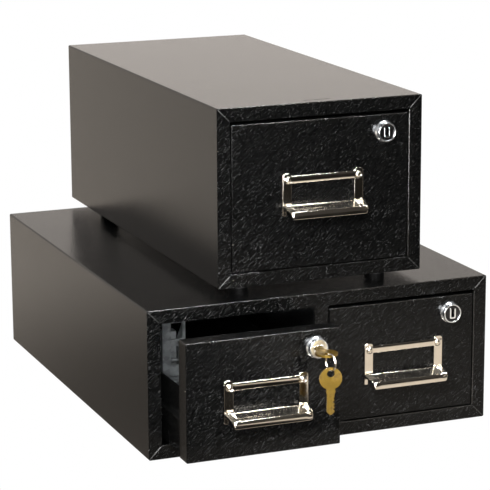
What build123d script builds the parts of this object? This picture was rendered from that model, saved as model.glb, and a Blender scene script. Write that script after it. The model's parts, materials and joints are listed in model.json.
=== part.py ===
from build123d import *
import os
from math import atan2, cos, degrees, radians, sin

# A stack of two steel card index cabinets: a two-drawer cabinet for 3 x 5 inch cards with a
# one-drawer cabinet for 4 x 6 inch cards standing on it. Sizes are in millimetres, +Z is up
# and the drawers open towards -Y. The origin is under the middle of the whole stack, on the
# plane that the lower feet stand on.

INCH = 25.4

# Folded steel casings
CASE_DEPTH = 16.0 * INCH
LOWER_WIDTH = 12.5 * INCH
LOWER_HEIGHT = 130.2
UPPER_WIDTH = 7.5 * INCH
UPPER_HEIGHT = 155.6
UPPER_SHIFT_X = 8.0
UPPER_SETBACK = 20.0
SHEET = 1.0
CASE_FOLD_RADIUS = 1.4
FRAME_WIDTH = 12.0
STILE_WIDTH = 12.5
LIP_DEPTH = 5.0
REAR_FLANGE = 8.0
REAR_PANEL_GAP = 0.15
TOP_SLOT_LENGTH = 25.0
TOP_SLOT_WIDTH = 1.2
TOP_SLOT_SETBACK = 10.0
DIVIDER_FLANGE = 10.0

# Rubber feet
FOOT_HEIGHT = 6.5
FOOT_TOP_RADIUS = 9.5
FOOT_BOTTOM_RADIUS = 8.6
FOOT_INSET = 30.0
FOOT_RECESS_RADIUS = 3.2
FOOT_RECESS_DEPTH = 3.0

# Drawer fronts, shallow folded pans that close flush in the frame
PAN_SIDE_GAP = 1.2
PAN_BOTTOM_GAP = 1.2
PAN_TOP_GAP = 3.0
PAN_DEPTH = 16.0
PAN_FOLD_RADIUS = 1.0
PAN_HEM = 8.0

# Card trays behind the fronts
TRAY_SIDE_SPACE = 4.2
TRAY_FLOOR_RISE = 1.2
TRAY_REAR_GAP = 14.0
TRAY_WALL_DROP = 2.0
HEM_HEIGHT = 5.0
SMALL_SIDE_HEIGHT = 57.5
LARGE_SIDE_HEIGHT = 83.0
SMALL_CARD_HEIGHT = 3.0 * INCH
LARGE_CARD_HEIGHT = 4.0 * INCH
LEFT_DRAWER_OPEN = 56.0

# Roller slides
RAIL_CENTRE_HEIGHT = 26.0
RAIL_START = 18.0
RAIL_LENGTH = 336.0
RAIL_FLANGE = 2.7
ROLLER_RADIUS = 6.0
ROLLER_START = 1.6
ROLLER_WIDTH = 6.6
ROLLER_CHAMFER = 0.5
ROLLER_PIN_RADIUS = 2.0
ROLLER_PIN_CLEARANCE = 0.05
CASE_ROLLER_SETBACK = 25.0
TRAY_ROLLER_FROM_END = 9.0
ROLLER_RUNNING_GAP = 0.1
CHANNEL_CLEARANCE = 0.3
CHANNEL_START = 17.0

# Card followers and their floor rails
FLOOR_RAIL_WIDTH = 16.0
FLOOR_RAIL_HEIGHT = 5.0
FLOOR_RAIL_END_GAP = 6.0
NOTCH_WIDTH = 8.0
NOTCH_LENGTH = 2.5
NOTCH_PITCH = 12.0
FOLLOWER_SETBACK = 216.0
FOLLOWER_SHEET = 1.2
FOLLOWER_GAP = 0.3
FOLLOWER_LENGTH = 44.0
POST_WIDTH = 22.4
POST_WINDOW_WIDTH = 12.6
POST_WINDOW_SHIFT = 3.4
POST_LOWER_WINDOW = 15.8
POST_BAR = 33.7
POST_UPPER_WINDOW = 40.3
CARD_PLATE_SIDE_GAP = 3.0
CARD_PLATE_RISE = 6.0
CARD_PLATE_RADIUS = 6.0
CARD_PLATE_FLANGE = 7.0
LEVER_WIDTH = 14.0
LEVER_SHEET = 1.5
LEVER_SETBACK = 14.0
LEVER_PIVOT_RISE = 16.0
LEVER_RISE = 44.0
LEVER_TAB = 10.0
LEVER_PIN_RADIUS = 1.5
LEVER_BARREL_RADIUS = 2.6
LEVER_PIN_CLEARANCE = 0.05
LEVER_TOE_GAP = 0.4

# Label holders that serve as pulls
PULL_WIDTH = 75.0
PULL_HEIGHT = 34.3
PULL_SHIFT_X = 1.2
PULL_SHEET = 1.0
PULL_STANDOFF = 1.2
PULL_WINDOW_WIDTH = 59.0
PULL_WINDOW_TOP = 6.3
PULL_WINDOW_BOTTOM = 8.6
PULL_LEG_WIDTH = 3.2
LEDGE_WIDTH = 70.0
LEDGE_REACH = 17.0
LEDGE_DROP = 4.0
LEDGE_RIM = 1.6
LIP_HEIGHT = 5.0
EAR_WIDTH = 8.0
EAR_HEIGHT = 2.6
SMALL_PULL_RISE = 30.5
LARGE_PULL_RISE = 46.0
RIVET_HEAD_RADIUS = 2.7
RIVET_HEAD_HEIGHT = 1.5
RIVET_SHANK_RADIUS = 1.6
RIVET_INSET_X = 4.8
RIVET_INSET_Z = 3.5
RIVET_TAIL = 1.2

# Cam locks
LOCK_FROM_EDGE = 22.5
LOCK_FROM_TOP = 15.0
LOCK_HEAD_RADIUS = 9.5
LOCK_FACE_RADIUS = 8.5
LOCK_HEAD_REACH = 6.5
LOCK_BEVEL = 3.4
LOCK_BARREL_RADIUS = 8.0
LOCK_HOLE_CLEARANCE = 0.1
LOCK_NUT_THICKNESS = 2.4
LOCK_NUT_RADIUS = 10.5
PLUG_RADIUS = 5.7
PLUG_CLEARANCE = 0.06
PLUG_RECESS = 0.3
PLUG_TAIL = 6.0
CAM_THICKNESS = 2.0
CAM_LENGTH = 25.0
CAM_ROOT_RADIUS = 7.0
CAM_TIP_RADIUS = 5.0
CAM_CLEARANCE = 0.3
CAM_SCREW_RADIUS = 2.0
CAM_SCREW_HEAD_RADIUS = 4.0
CAM_SCREW_HEAD = 2.4
CAM_SCREW_LENGTH = 7.0
CAM_SCREW_SLOT = 0.9
STRIKE_WIDTH = 19.0
STRIKE_BASE = 9.0
STRIKE_CLEARANCE = 1.2
STRIKE_DROP_GAP = 1.0

# Keys and key ring
KEY_THICKNESS = 1.8
KEY_BLADE_WIDTH = 6.6
KEY_BLADE_LENGTH = 16.5
KEY_SHOULDER_WIDTH = 8.2
KEY_STUB = 6.0
KEY_STOP_GAP = 0.3
KEY_BOW_RADIUS = 9.5
KEY_BOW_OVERLAP = 0.8
KEY_HOLE_RADIUS = 3.2
KEY_WEB = 2.0
KEY_CUT_DEPTHS = (1.4, 2.1, 1.0, 1.8)
KEY_CUT_WIDTH = 1.6
KEYWAY_CLEARANCE = 0.2
KEYWAY_END_GAP = 1.5
RING_RADIUS = 7.0
RING_WIRE_RADIUS = 0.5
RING_TURN = 8.0
RING_SEAT_GAP = 0.3
SPARE_SEAT_GAP = 0.4
SPARE_TURN = 12.0

# Places that follow from the sizes above
KEY_BOW_REACH = LOCK_HEAD_REACH + KEY_STOP_GAP + KEY_STUB + KEY_BOW_RADIUS - KEY_BOW_OVERLAP
KEY_WEB_REACH = KEY_BOW_REACH + KEY_BOW_RADIUS - KEY_WEB / 2
RING_REACH = KEY_WEB_REACH + RING_RADIUS * cos(radians(RING_TURN)) + RING_WIRE_RADIUS
STACK_BACK = max(CASE_DEPTH, UPPER_SETBACK + CASE_DEPTH)
CASE_FRONT_Y = (LEFT_DRAWER_OPEN + RING_REACH - STACK_BACK) / 2
TRAY_FRONT = PAN_DEPTH
TRAY_LENGTH = CASE_DEPTH - TRAY_FRONT - TRAY_REAR_GAP
LOCK_BARREL_END = TRAY_FRONT + SHEET + LOCK_NUT_THICKNESS
CAM_FRONT = LOCK_BARREL_END + CAM_CLEARANCE
TRAY_ROLLER_SETBACK = RAIL_START + RAIL_LENGTH - TRAY_ROLLER_FROM_END
CHANNEL_HALF = ROLLER_RADIUS + CHANNEL_CLEARANCE
CHANNEL_END = TRAY_ROLLER_SETBACK + ROLLER_RADIUS + CHANNEL_CLEARANCE
WALL_SPACE = TRAY_SIDE_SPACE + FRAME_WIDTH - SHEET
DIVIDER_SPACE = TRAY_SIDE_SPACE + STILE_WIDTH / 2 - SHEET / 2
CAM_REACH = CAM_LENGTH - CAM_TIP_RADIUS


class Cabinet:
    """One folded casing: its outer size and the place of its front bottom edge."""

    def __init__(self, name, width, height, x, front, bottom):
        self.name = name
        self.width = width
        self.height = height
        self.x = x
        self.front = front
        self.bottom = bottom
        self.middle_z = bottom + height / 2
        self.top = bottom + height
        self.inner_width = width - 2 * FRAME_WIDTH
        self.inner_height = height - 2 * FRAME_WIDTH


class Bay:
    """One drawer opening of a cabinet and the places that its drawer takes from it."""

    def __init__(self, name, cabinet, x, width, pulled_out, side_height, card_height, pull_rise):
        self.name = name
        self.cabinet = cabinet
        self.x = x
        self.front = cabinet.front - pulled_out
        self.pan_width = width - 2 * PAN_SIDE_GAP
        self.pan_height = cabinet.inner_height - PAN_BOTTOM_GAP - PAN_TOP_GAP
        self.pan_bottom = cabinet.bottom + FRAME_WIDTH + PAN_BOTTOM_GAP
        self.pan_top = self.pan_bottom + self.pan_height
        self.pan_middle_z = self.pan_bottom + self.pan_height / 2
        self.tray_width = width - 2 * TRAY_SIDE_SPACE
        self.tray_bottom = self.pan_bottom + TRAY_FLOOR_RISE
        self.floor = self.tray_bottom + SHEET
        self.side_height = side_height
        self.card_height = card_height
        self.rail_z = self.tray_bottom + RAIL_CENTRE_HEIGHT
        self.pull_x = x + PULL_SHIFT_X
        self.pull_bottom = self.pan_bottom + pull_rise
        self.lock_x = x + self.pan_width / 2 - LOCK_FROM_EDGE
        self.lock_z = self.pan_top - LOCK_FROM_TOP


lower = Cabinet("lower", LOWER_WIDTH, LOWER_HEIGHT, 0.0, CASE_FRONT_Y, FOOT_HEIGHT)
upper = Cabinet(
    "upper",
    UPPER_WIDTH,
    UPPER_HEIGHT,
    UPPER_SHIFT_X,
    CASE_FRONT_Y + UPPER_SETBACK,
    lower.top + FOOT_HEIGHT,
)
LOWER_BAY_WIDTH = (lower.inner_width - STILE_WIDTH) / 2
LOWER_BAY_X = (LOWER_BAY_WIDTH + STILE_WIDTH) / 2
left = Bay(
    "left",
    lower,
    lower.x - LOWER_BAY_X,
    LOWER_BAY_WIDTH,
    LEFT_DRAWER_OPEN,
    SMALL_SIDE_HEIGHT,
    SMALL_CARD_HEIGHT,
    SMALL_PULL_RISE,
)
right = Bay(
    "right",
    lower,
    lower.x + LOWER_BAY_X,
    LOWER_BAY_WIDTH,
    0.0,
    SMALL_SIDE_HEIGHT,
    SMALL_CARD_HEIGHT,
    SMALL_PULL_RISE,
)
single = Bay(
    "upper",
    upper,
    upper.x,
    upper.inner_width,
    0.0,
    LARGE_SIDE_HEIGHT,
    LARGE_CARD_HEIGHT,
    LARGE_PULL_RISE,
)

os.makedirs("parts", exist_ok=True)


def save(builder, name):
    """Name the finished piece and write its STEP file."""
    builder.part.label = name
    export_step(builder.part, f"parts/{name}.step")


def facing(y):
    """The upright plane at depth y, drawn as seen from the front: x right, y up."""
    return Plane.XZ.offset(-y)


def span(x, y, z, mode=Mode.ADD):
    """A block between two values along each axis, in the part being built."""
    with Locations(((x[0] + x[1]) / 2, (y[0] + y[1]) / 2, (z[0] + z[1]) / 2)):
        Box(x[1] - x[0], y[1] - y[0], z[1] - z[0], mode=mode)


def side_faces(bay, side, near, far):
    """The x values that lie near and far outside the tray's side face, in rising order."""
    face = bay.x + side * bay.tray_width / 2
    return sorted((face + side * near, face + side * far))


# Casings, back panels and the divider


def make_casing(cabinet):
    """The folded wrapper with its front frame, returned lips and rear flange."""
    with BuildPart() as casing:
        with BuildSketch(facing(cabinet.front)) as wrapper:
            with Locations((cabinet.x, cabinet.middle_z)):
                RectangleRounded(cabinet.width, cabinet.height, CASE_FOLD_RADIUS)
                Rectangle(cabinet.width - 2 * SHEET, cabinet.height - 2 * SHEET, mode=Mode.SUBTRACT)
        extrude(amount=-CASE_DEPTH)
        with BuildSketch(facing(cabinet.front)) as frame:
            with Locations((cabinet.x, cabinet.middle_z)):
                RectangleRounded(cabinet.width, cabinet.height, CASE_FOLD_RADIUS)
                Rectangle(cabinet.inner_width, cabinet.inner_height, mode=Mode.SUBTRACT)
        extrude(amount=-SHEET)
        with BuildSketch(facing(cabinet.front)) as lip:
            with Locations((cabinet.x, cabinet.middle_z)):
                Rectangle(cabinet.inner_width + 2 * SHEET, cabinet.inner_height + 2 * SHEET)
                Rectangle(cabinet.inner_width, cabinet.inner_height, mode=Mode.SUBTRACT)
        extrude(amount=-LIP_DEPTH)
        with BuildSketch(facing(cabinet.front + CASE_DEPTH)) as rear:
            with Locations((cabinet.x, cabinet.middle_z)):
                RectangleRounded(cabinet.width, cabinet.height, CASE_FOLD_RADIUS)
                Rectangle(
                    cabinet.width - 2 * REAR_FLANGE,
                    cabinet.height - 2 * REAR_FLANGE,
                    mode=Mode.SUBTRACT,
                )
        extrude(amount=SHEET)
        if cabinet is upper:
            slot_y = cabinet.front + TOP_SLOT_SETBACK
            with BuildSketch(Plane.XY.offset(cabinet.top)) as slot:
                with Locations((cabinet.x, slot_y)):
                    SlotOverall(TOP_SLOT_LENGTH, TOP_SLOT_WIDTH)
            extrude(amount=-2 * SHEET, mode=Mode.SUBTRACT)
    save(casing, f"{cabinet.name}_casing")


def make_back_panel(cabinet):
    """The panel that closes the back, spot-welded inside the rear flange."""
    slack = SHEET + REAR_PANEL_GAP
    with BuildPart() as panel:
        with BuildSketch(facing(cabinet.front + CASE_DEPTH - SHEET)) as outline:
            with Locations((cabinet.x, cabinet.middle_z)):
                Rectangle(cabinet.width - 2 * slack, cabinet.height - 2 * slack)
        extrude(amount=SHEET)
        fillet(panel.edges().filter_by(Axis.Y), SHEET)
    save(panel, f"{cabinet.name}_back_panel")


def make_divider(cabinet):
    """The partition between the two bays, with a folded stile as its front edge."""
    frame_low = cabinet.bottom + FRAME_WIDTH
    frame_high = cabinet.top - FRAME_WIDTH
    web_front = cabinet.front + LIP_DEPTH + SHEET
    web_back = cabinet.front + CASE_DEPTH - 2 * SHEET - REAR_PANEL_GAP
    half_web = SHEET / 2
    with BuildPart() as divider:
        with BuildSketch(Plane.XY.offset(frame_low)) as stile:
            with Locations((cabinet.x, cabinet.front)):
                Rectangle(STILE_WIDTH, LIP_DEPTH, align=(Align.CENTER, Align.MIN))
            with Locations((cabinet.x, cabinet.front + SHEET)):
                Rectangle(
                    STILE_WIDTH - 2 * SHEET,
                    LIP_DEPTH,
                    align=(Align.CENTER, Align.MIN),
                    mode=Mode.SUBTRACT,
                )
                Rectangle(SHEET, LIP_DEPTH, align=(Align.CENTER, Align.MIN))
        extrude(amount=frame_high - frame_low)
        span(
            (cabinet.x - half_web, cabinet.x + half_web),
            (web_front, web_back),
            (cabinet.bottom + SHEET, cabinet.top - SHEET),
        )
        for low in (cabinet.bottom + SHEET, cabinet.top - 2 * SHEET):
            span(
                (cabinet.x - half_web, cabinet.x + DIVIDER_FLANGE),
                (web_front, web_back),
                (low, low + SHEET),
            )
    save(divider, f"{cabinet.name}_divider")


def make_feet(cabinet):
    """Four tapered rubber feet under the casing, each with a recess for its screw."""
    spread_x = cabinet.width - 2 * FOOT_INSET
    spread_y = CASE_DEPTH - 2 * FOOT_INSET
    middle = (cabinet.x, cabinet.front + CASE_DEPTH / 2)
    sole = cabinet.bottom - FOOT_HEIGHT
    taper = degrees(atan2(FOOT_TOP_RADIUS - FOOT_BOTTOM_RADIUS, FOOT_HEIGHT))
    with BuildPart() as feet:
        with BuildSketch(Plane.XY.offset(sole)) as soles:
            with Locations(middle):
                with GridLocations(spread_x, spread_y, 2, 2):
                    Circle(FOOT_BOTTOM_RADIUS)
        extrude(amount=FOOT_HEIGHT, taper=-taper)
        with BuildSketch(Plane.XY.offset(sole)) as recesses:
            with Locations(middle):
                with GridLocations(spread_x, spread_y, 2, 2):
                    Circle(FOOT_RECESS_RADIUS)
        extrude(amount=FOOT_RECESS_DEPTH, mode=Mode.SUBTRACT)
    save(feet, f"{cabinet.name}_feet")


def make_strikes(cabinet, bays):
    """Angle brackets under the casing's top, one behind the top rail over each lock."""
    tab_back = cabinet.front + CAM_FRONT - STRIKE_CLEARANCE
    tab_front = tab_back - SHEET
    under_top = cabinet.top - SHEET
    tab_low = cabinet.top - FRAME_WIDTH - PAN_TOP_GAP + STRIKE_DROP_GAP
    with BuildPart() as strikes:
        for bay in bays:
            edges = (bay.lock_x - STRIKE_WIDTH / 2, bay.lock_x + STRIKE_WIDTH / 2)
            span(edges, (tab_front, tab_back), (tab_low, under_top))
            span(edges, (tab_back - STRIKE_BASE, tab_back), (under_top - SHEET, under_top))
    save(strikes, f"{cabinet.name}_strikes")


# Roller slides


def channel_profile(bay, side, space):
    """One C-shaped case channel with its roller pin; space is what lies beside the tray."""
    start = bay.cabinet.front + CHANNEL_START
    end = bay.cabinet.front + CHANNEL_END + SHEET
    outer_z = (bay.rail_z - CHANNEL_HALF - SHEET, bay.rail_z + CHANNEL_HALF + SHEET)
    inner_z = (bay.rail_z - CHANNEL_HALF, bay.rail_z + CHANNEL_HALF)
    span(side_faces(bay, side, TRAY_SIDE_SPACE, space), (start, end), outer_z)
    span(
        side_faces(bay, side, TRAY_SIDE_SPACE, space - SHEET),
        (start, end - SHEET),
        inner_z,
        mode=Mode.SUBTRACT,
    )
    pin_x = side_faces(bay, side, ROLLER_START, space - SHEET)
    with Locations(
        Location(
            (
                (pin_x[0] + pin_x[1]) / 2,
                bay.cabinet.front + CASE_ROLLER_SETBACK,
                bay.rail_z,
            ),
            (0, 90, 0),
        )
    ):
        Cylinder(ROLLER_PIN_RADIUS, pin_x[1] - pin_x[0])


def make_channels(cabinet, sides):
    """The cabinet's half of every slide: one channel for each side of each tray."""
    with BuildPart() as channels:
        for bay, side, space in sides:
            channel_profile(bay, side, space)
    save(channels, f"{cabinet.name}_channels")


def make_rails(bay):
    """The drawer's half of the slides: an angle on each tray side with its roller pin."""
    start = bay.front + RAIL_START
    flange_low = bay.rail_z + ROLLER_RADIUS + ROLLER_RUNNING_GAP
    with BuildPart() as rails:
        for side in (-1, 1):
            span(
                side_faces(bay, side, 0, SHEET),
                (start, start + RAIL_LENGTH),
                (bay.rail_z - ROLLER_RADIUS - SHEET, flange_low + SHEET),
            )
            span(
                side_faces(bay, side, 0, SHEET + RAIL_FLANGE),
                (start, start + RAIL_LENGTH),
                (flange_low, flange_low + SHEET),
            )
            pin_x = side_faces(bay, side, SHEET, ROLLER_START + ROLLER_WIDTH)
            with Locations(
                Location(
                    (
                        (pin_x[0] + pin_x[1]) / 2,
                        bay.front + TRAY_ROLLER_SETBACK,
                        bay.rail_z,
                    ),
                    (0, 90, 0),
                )
            ):
                Cylinder(ROLLER_PIN_RADIUS, pin_x[1] - pin_x[0])
    save(rails, f"{bay.name}_drawer_rails")


def make_rollers(bay, y, name):
    """A pair of nylon rollers on one axis line, one each side of the tray."""
    with BuildPart() as rollers:
        for side in (-1, 1):
            ends = side_faces(bay, side, ROLLER_START, ROLLER_START + ROLLER_WIDTH)
            with BuildSketch(Plane.YZ.offset(ends[0])) as disc:
                with Locations((y, bay.rail_z)):
                    Circle(ROLLER_RADIUS)
                    Circle(ROLLER_PIN_RADIUS + ROLLER_PIN_CLEARANCE, mode=Mode.SUBTRACT)
            extrude(amount=ROLLER_WIDTH)
        rims = rollers.edges().filter_by(GeomType.CIRCLE)
        chamfer(
            rims.filter_by(lambda edge: abs(edge.radius - ROLLER_RADIUS) < 0.01),
            ROLLER_CHAMFER,
        )
    save(rollers, name)


# Drawers


def rivet_places(bay):
    """The x and z of the two rivets that hold the label holder."""
    top = bay.pull_bottom + PULL_HEIGHT
    reach = PULL_WIDTH / 2 - RIVET_INSET_X
    return [(bay.pull_x + side * reach, top - RIVET_INSET_Z) for side in (-1, 1)]


def make_front(bay):
    """The pan: a face with four returned sides and a hem that sits on the tray's wall."""
    centre = (bay.x, bay.pan_middle_z)
    with BuildPart() as front:
        with BuildSketch(facing(bay.front)) as face:
            with Locations(centre):
                Rectangle(bay.pan_width, bay.pan_height)
        extrude(amount=-PAN_DEPTH)
        fillet(front.edges().filter_by(Axis.Y), PAN_FOLD_RADIUS)
        fillet(front.faces().sort_by(Axis.Y)[0].edges(), PAN_FOLD_RADIUS / 2)
        with BuildSketch(facing(bay.front + SHEET)) as hollow:
            with Locations(centre):
                Rectangle(bay.pan_width - 2 * SHEET, bay.pan_height - 2 * SHEET)
        extrude(amount=-(PAN_DEPTH - 2 * SHEET), mode=Mode.SUBTRACT)
        with BuildSketch(facing(bay.front + PAN_DEPTH - SHEET)) as mouth:
            with Locations(centre):
                Rectangle(bay.pan_width - 2 * PAN_HEM, bay.pan_height - 2 * PAN_HEM)
            with Locations((bay.lock_x, bay.lock_z)):
                Circle(LOCK_BARREL_RADIUS + LOCK_HOLE_CLEARANCE)
        extrude(amount=-SHEET, mode=Mode.SUBTRACT)
        with BuildSketch(facing(bay.front)) as holes:
            with Locations((bay.lock_x, bay.lock_z)):
                Circle(LOCK_BARREL_RADIUS + LOCK_HOLE_CLEARANCE)
            with Locations(*rivet_places(bay)):
                Circle(RIVET_SHANK_RADIUS)
        extrude(amount=-SHEET, mode=Mode.SUBTRACT)
    save(front, f"{bay.name}_drawer_front")


def make_tray(bay):
    """The card tray: floor, low hemmed sides and back, and a tall wall behind the pan."""
    start = bay.front + TRAY_FRONT
    end = start + TRAY_LENGTH
    half = bay.tray_width / 2
    side_top = bay.tray_bottom + bay.side_height
    with BuildPart() as tray:
        with BuildSketch(Plane.XY.offset(bay.tray_bottom)) as outline:
            with Locations((bay.x, (start + end) / 2)):
                Rectangle(bay.tray_width, TRAY_LENGTH)
        extrude(amount=bay.side_height)
        fillet(tray.faces().sort_by(Axis.Z)[0].edges().filter_by(Axis.Y), SHEET)
        span(
            (bay.x - half + SHEET, bay.x + half - SHEET),
            (start + SHEET, end - SHEET),
            (bay.floor, side_top),
            mode=Mode.SUBTRACT,
        )
        for side in (-1, 1):
            span(
                side_faces(bay, side, -2 * SHEET, 0),
                (start + SHEET, end),
                (side_top - HEM_HEIGHT, side_top),
            )
        span(
            (bay.x - half, bay.x + half),
            (end - 2 * SHEET, end),
            (side_top - HEM_HEIGHT, side_top),
        )
        with BuildSketch(facing(start)) as wall:
            with Locations((bay.x, bay.tray_bottom)):
                Rectangle(
                    bay.tray_width,
                    bay.pan_top - TRAY_WALL_DROP - bay.tray_bottom,
                    align=(Align.CENTER, Align.MIN),
                )
        extrude(amount=-SHEET)
        with BuildSketch(facing(start)) as hole:
            with Locations((bay.lock_x, bay.lock_z)):
                Circle(LOCK_BARREL_RADIUS + LOCK_HOLE_CLEARANCE)
        extrude(amount=-SHEET, mode=Mode.SUBTRACT)
    save(tray, f"{bay.name}_tray")


def make_pull(bay):
    """The label holder: a windowed plate whose lower part folds out as a finger ledge."""
    plate_back = bay.front - PULL_STANDOFF
    plate_front = plate_back - PULL_SHEET
    top = bay.pull_bottom + PULL_HEIGHT
    ledge_z = bay.pull_bottom + PULL_WINDOW_BOTTOM
    tip = bay.front - LEDGE_REACH
    low = ledge_z - LEDGE_DROP
    half_ledge = LEDGE_WIDTH / 2
    half_pull = PULL_WIDTH / 2
    with BuildPart() as pull:
        with BuildSketch(facing(plate_back)) as plate:
            with Locations((bay.pull_x, bay.pull_bottom)):
                Rectangle(PULL_WIDTH, PULL_HEIGHT, align=(Align.CENTER, Align.MIN))
                Rectangle(
                    PULL_WIDTH - 2 * PULL_LEG_WIDTH,
                    PULL_WINDOW_BOTTOM - PULL_SHEET,
                    align=(Align.CENTER, Align.MIN),
                    mode=Mode.SUBTRACT,
                )
            with Locations((bay.pull_x, ledge_z)):
                Rectangle(
                    PULL_WINDOW_WIDTH,
                    PULL_HEIGHT - PULL_WINDOW_TOP - PULL_WINDOW_BOTTOM,
                    align=(Align.CENTER, Align.MIN),
                    mode=Mode.SUBTRACT,
                )
            with Locations(*rivet_places(bay)):
                Circle(RIVET_SHANK_RADIUS, mode=Mode.SUBTRACT)
        extrude(amount=PULL_SHEET)
        with BuildSketch(Plane.YZ.offset(bay.pull_x - half_ledge)) as ledge:
            with BuildLine() as ledge_outline:
                Polyline(
                    (plate_back, ledge_z),
                    (plate_front, ledge_z),
                    (tip, low),
                    (tip, low - LIP_HEIGHT),
                    (tip + PULL_SHEET, low - LIP_HEIGHT),
                    (tip + PULL_SHEET, low - PULL_SHEET),
                    (plate_back, ledge_z - PULL_SHEET),
                    close=True,
                )
            make_face()
        extrude(amount=LEDGE_WIDTH)
        for start in (bay.pull_x - half_ledge, bay.pull_x + half_ledge - PULL_SHEET):
            with BuildSketch(Plane.YZ.offset(start)) as rim:
                with BuildLine() as rim_outline:
                    Polyline(
                        (plate_front, ledge_z + 2 * LEDGE_RIM),
                        (tip, low + LEDGE_RIM / 2),
                        (tip, low - PULL_SHEET),
                        (plate_front, ledge_z - PULL_SHEET),
                        close=True,
                    )
                make_face()
            extrude(amount=PULL_SHEET)
        for side in (-1, 1):
            corner = bay.pull_x + side * half_pull
            ear = sorted((corner, corner - side * EAR_WIDTH))
            leg = sorted((corner, corner - side * PULL_LEG_WIDTH))
            span(ear, (plate_front, plate_back), (top, top + EAR_HEIGHT))
            span(ear, (plate_back, bay.front), (top + EAR_HEIGHT - PULL_SHEET, top + EAR_HEIGHT))
            span(leg, (plate_back, bay.front), (bay.pull_bottom, bay.pull_bottom + PULL_SHEET))
    save(pull, f"{bay.name}_label_pull")


def make_rivets(bay):
    """Two domed rivets through the label holder and the pan."""
    head_back = bay.front - PULL_STANDOFF - PULL_SHEET
    inside = bay.front + SHEET
    with BuildPart() as rivets:
        for x, z in rivet_places(bay):
            profile = Plane(origin=(x, 0, z), x_dir=(1, 0, 0), z_dir=(0, 0, 1))
            with BuildSketch(profile) as half:
                with BuildLine() as outline:
                    dome = ThreePointArc(
                        (0, head_back - RIVET_HEAD_HEIGHT),
                        (RIVET_HEAD_RADIUS * 0.74, head_back - RIVET_HEAD_HEIGHT * 0.66),
                        (RIVET_HEAD_RADIUS, head_back),
                    )
                    Polyline(
                        dome @ 1,
                        (RIVET_SHANK_RADIUS, head_back),
                        (RIVET_SHANK_RADIUS, inside),
                        (RIVET_HEAD_RADIUS, inside),
                        (RIVET_HEAD_RADIUS, inside + RIVET_TAIL),
                        (0, inside + RIVET_TAIL),
                        dome @ 0,
                    )
                make_face()
            revolve(axis=Axis((x, 0, z), (0, 1, 0)))
    save(rivets, f"{bay.name}_pull_rivets")


# Card followers


def make_floor_rail(bay):
    """The notched guide for the follower: an inverted channel on the tray's floor."""
    start = bay.front + TRAY_FRONT + SHEET + FLOOR_RAIL_END_GAP
    end = bay.front + TRAY_FRONT + TRAY_LENGTH - SHEET - FLOOR_RAIL_END_GAP
    length = end - start
    half = FLOOR_RAIL_WIDTH / 2
    top = bay.floor + FLOOR_RAIL_HEIGHT
    with BuildPart() as rail:
        span((bay.x - half, bay.x + half), (start, end), (bay.floor, top))
        span(
            (bay.x - half + SHEET, bay.x + half - SHEET),
            (start, end),
            (bay.floor, top - SHEET),
            mode=Mode.SUBTRACT,
        )
        with BuildSketch(Plane.XY.offset(top)) as notches:
            with Locations((bay.x, (start + end) / 2)):
                with GridLocations(NOTCH_PITCH, NOTCH_PITCH, 1, int(length / NOTCH_PITCH) - 1):
                    Rectangle(NOTCH_WIDTH, NOTCH_LENGTH)
        extrude(amount=-SHEET, mode=Mode.SUBTRACT)
    save(rail, f"{bay.name}_follower_rail")


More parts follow.
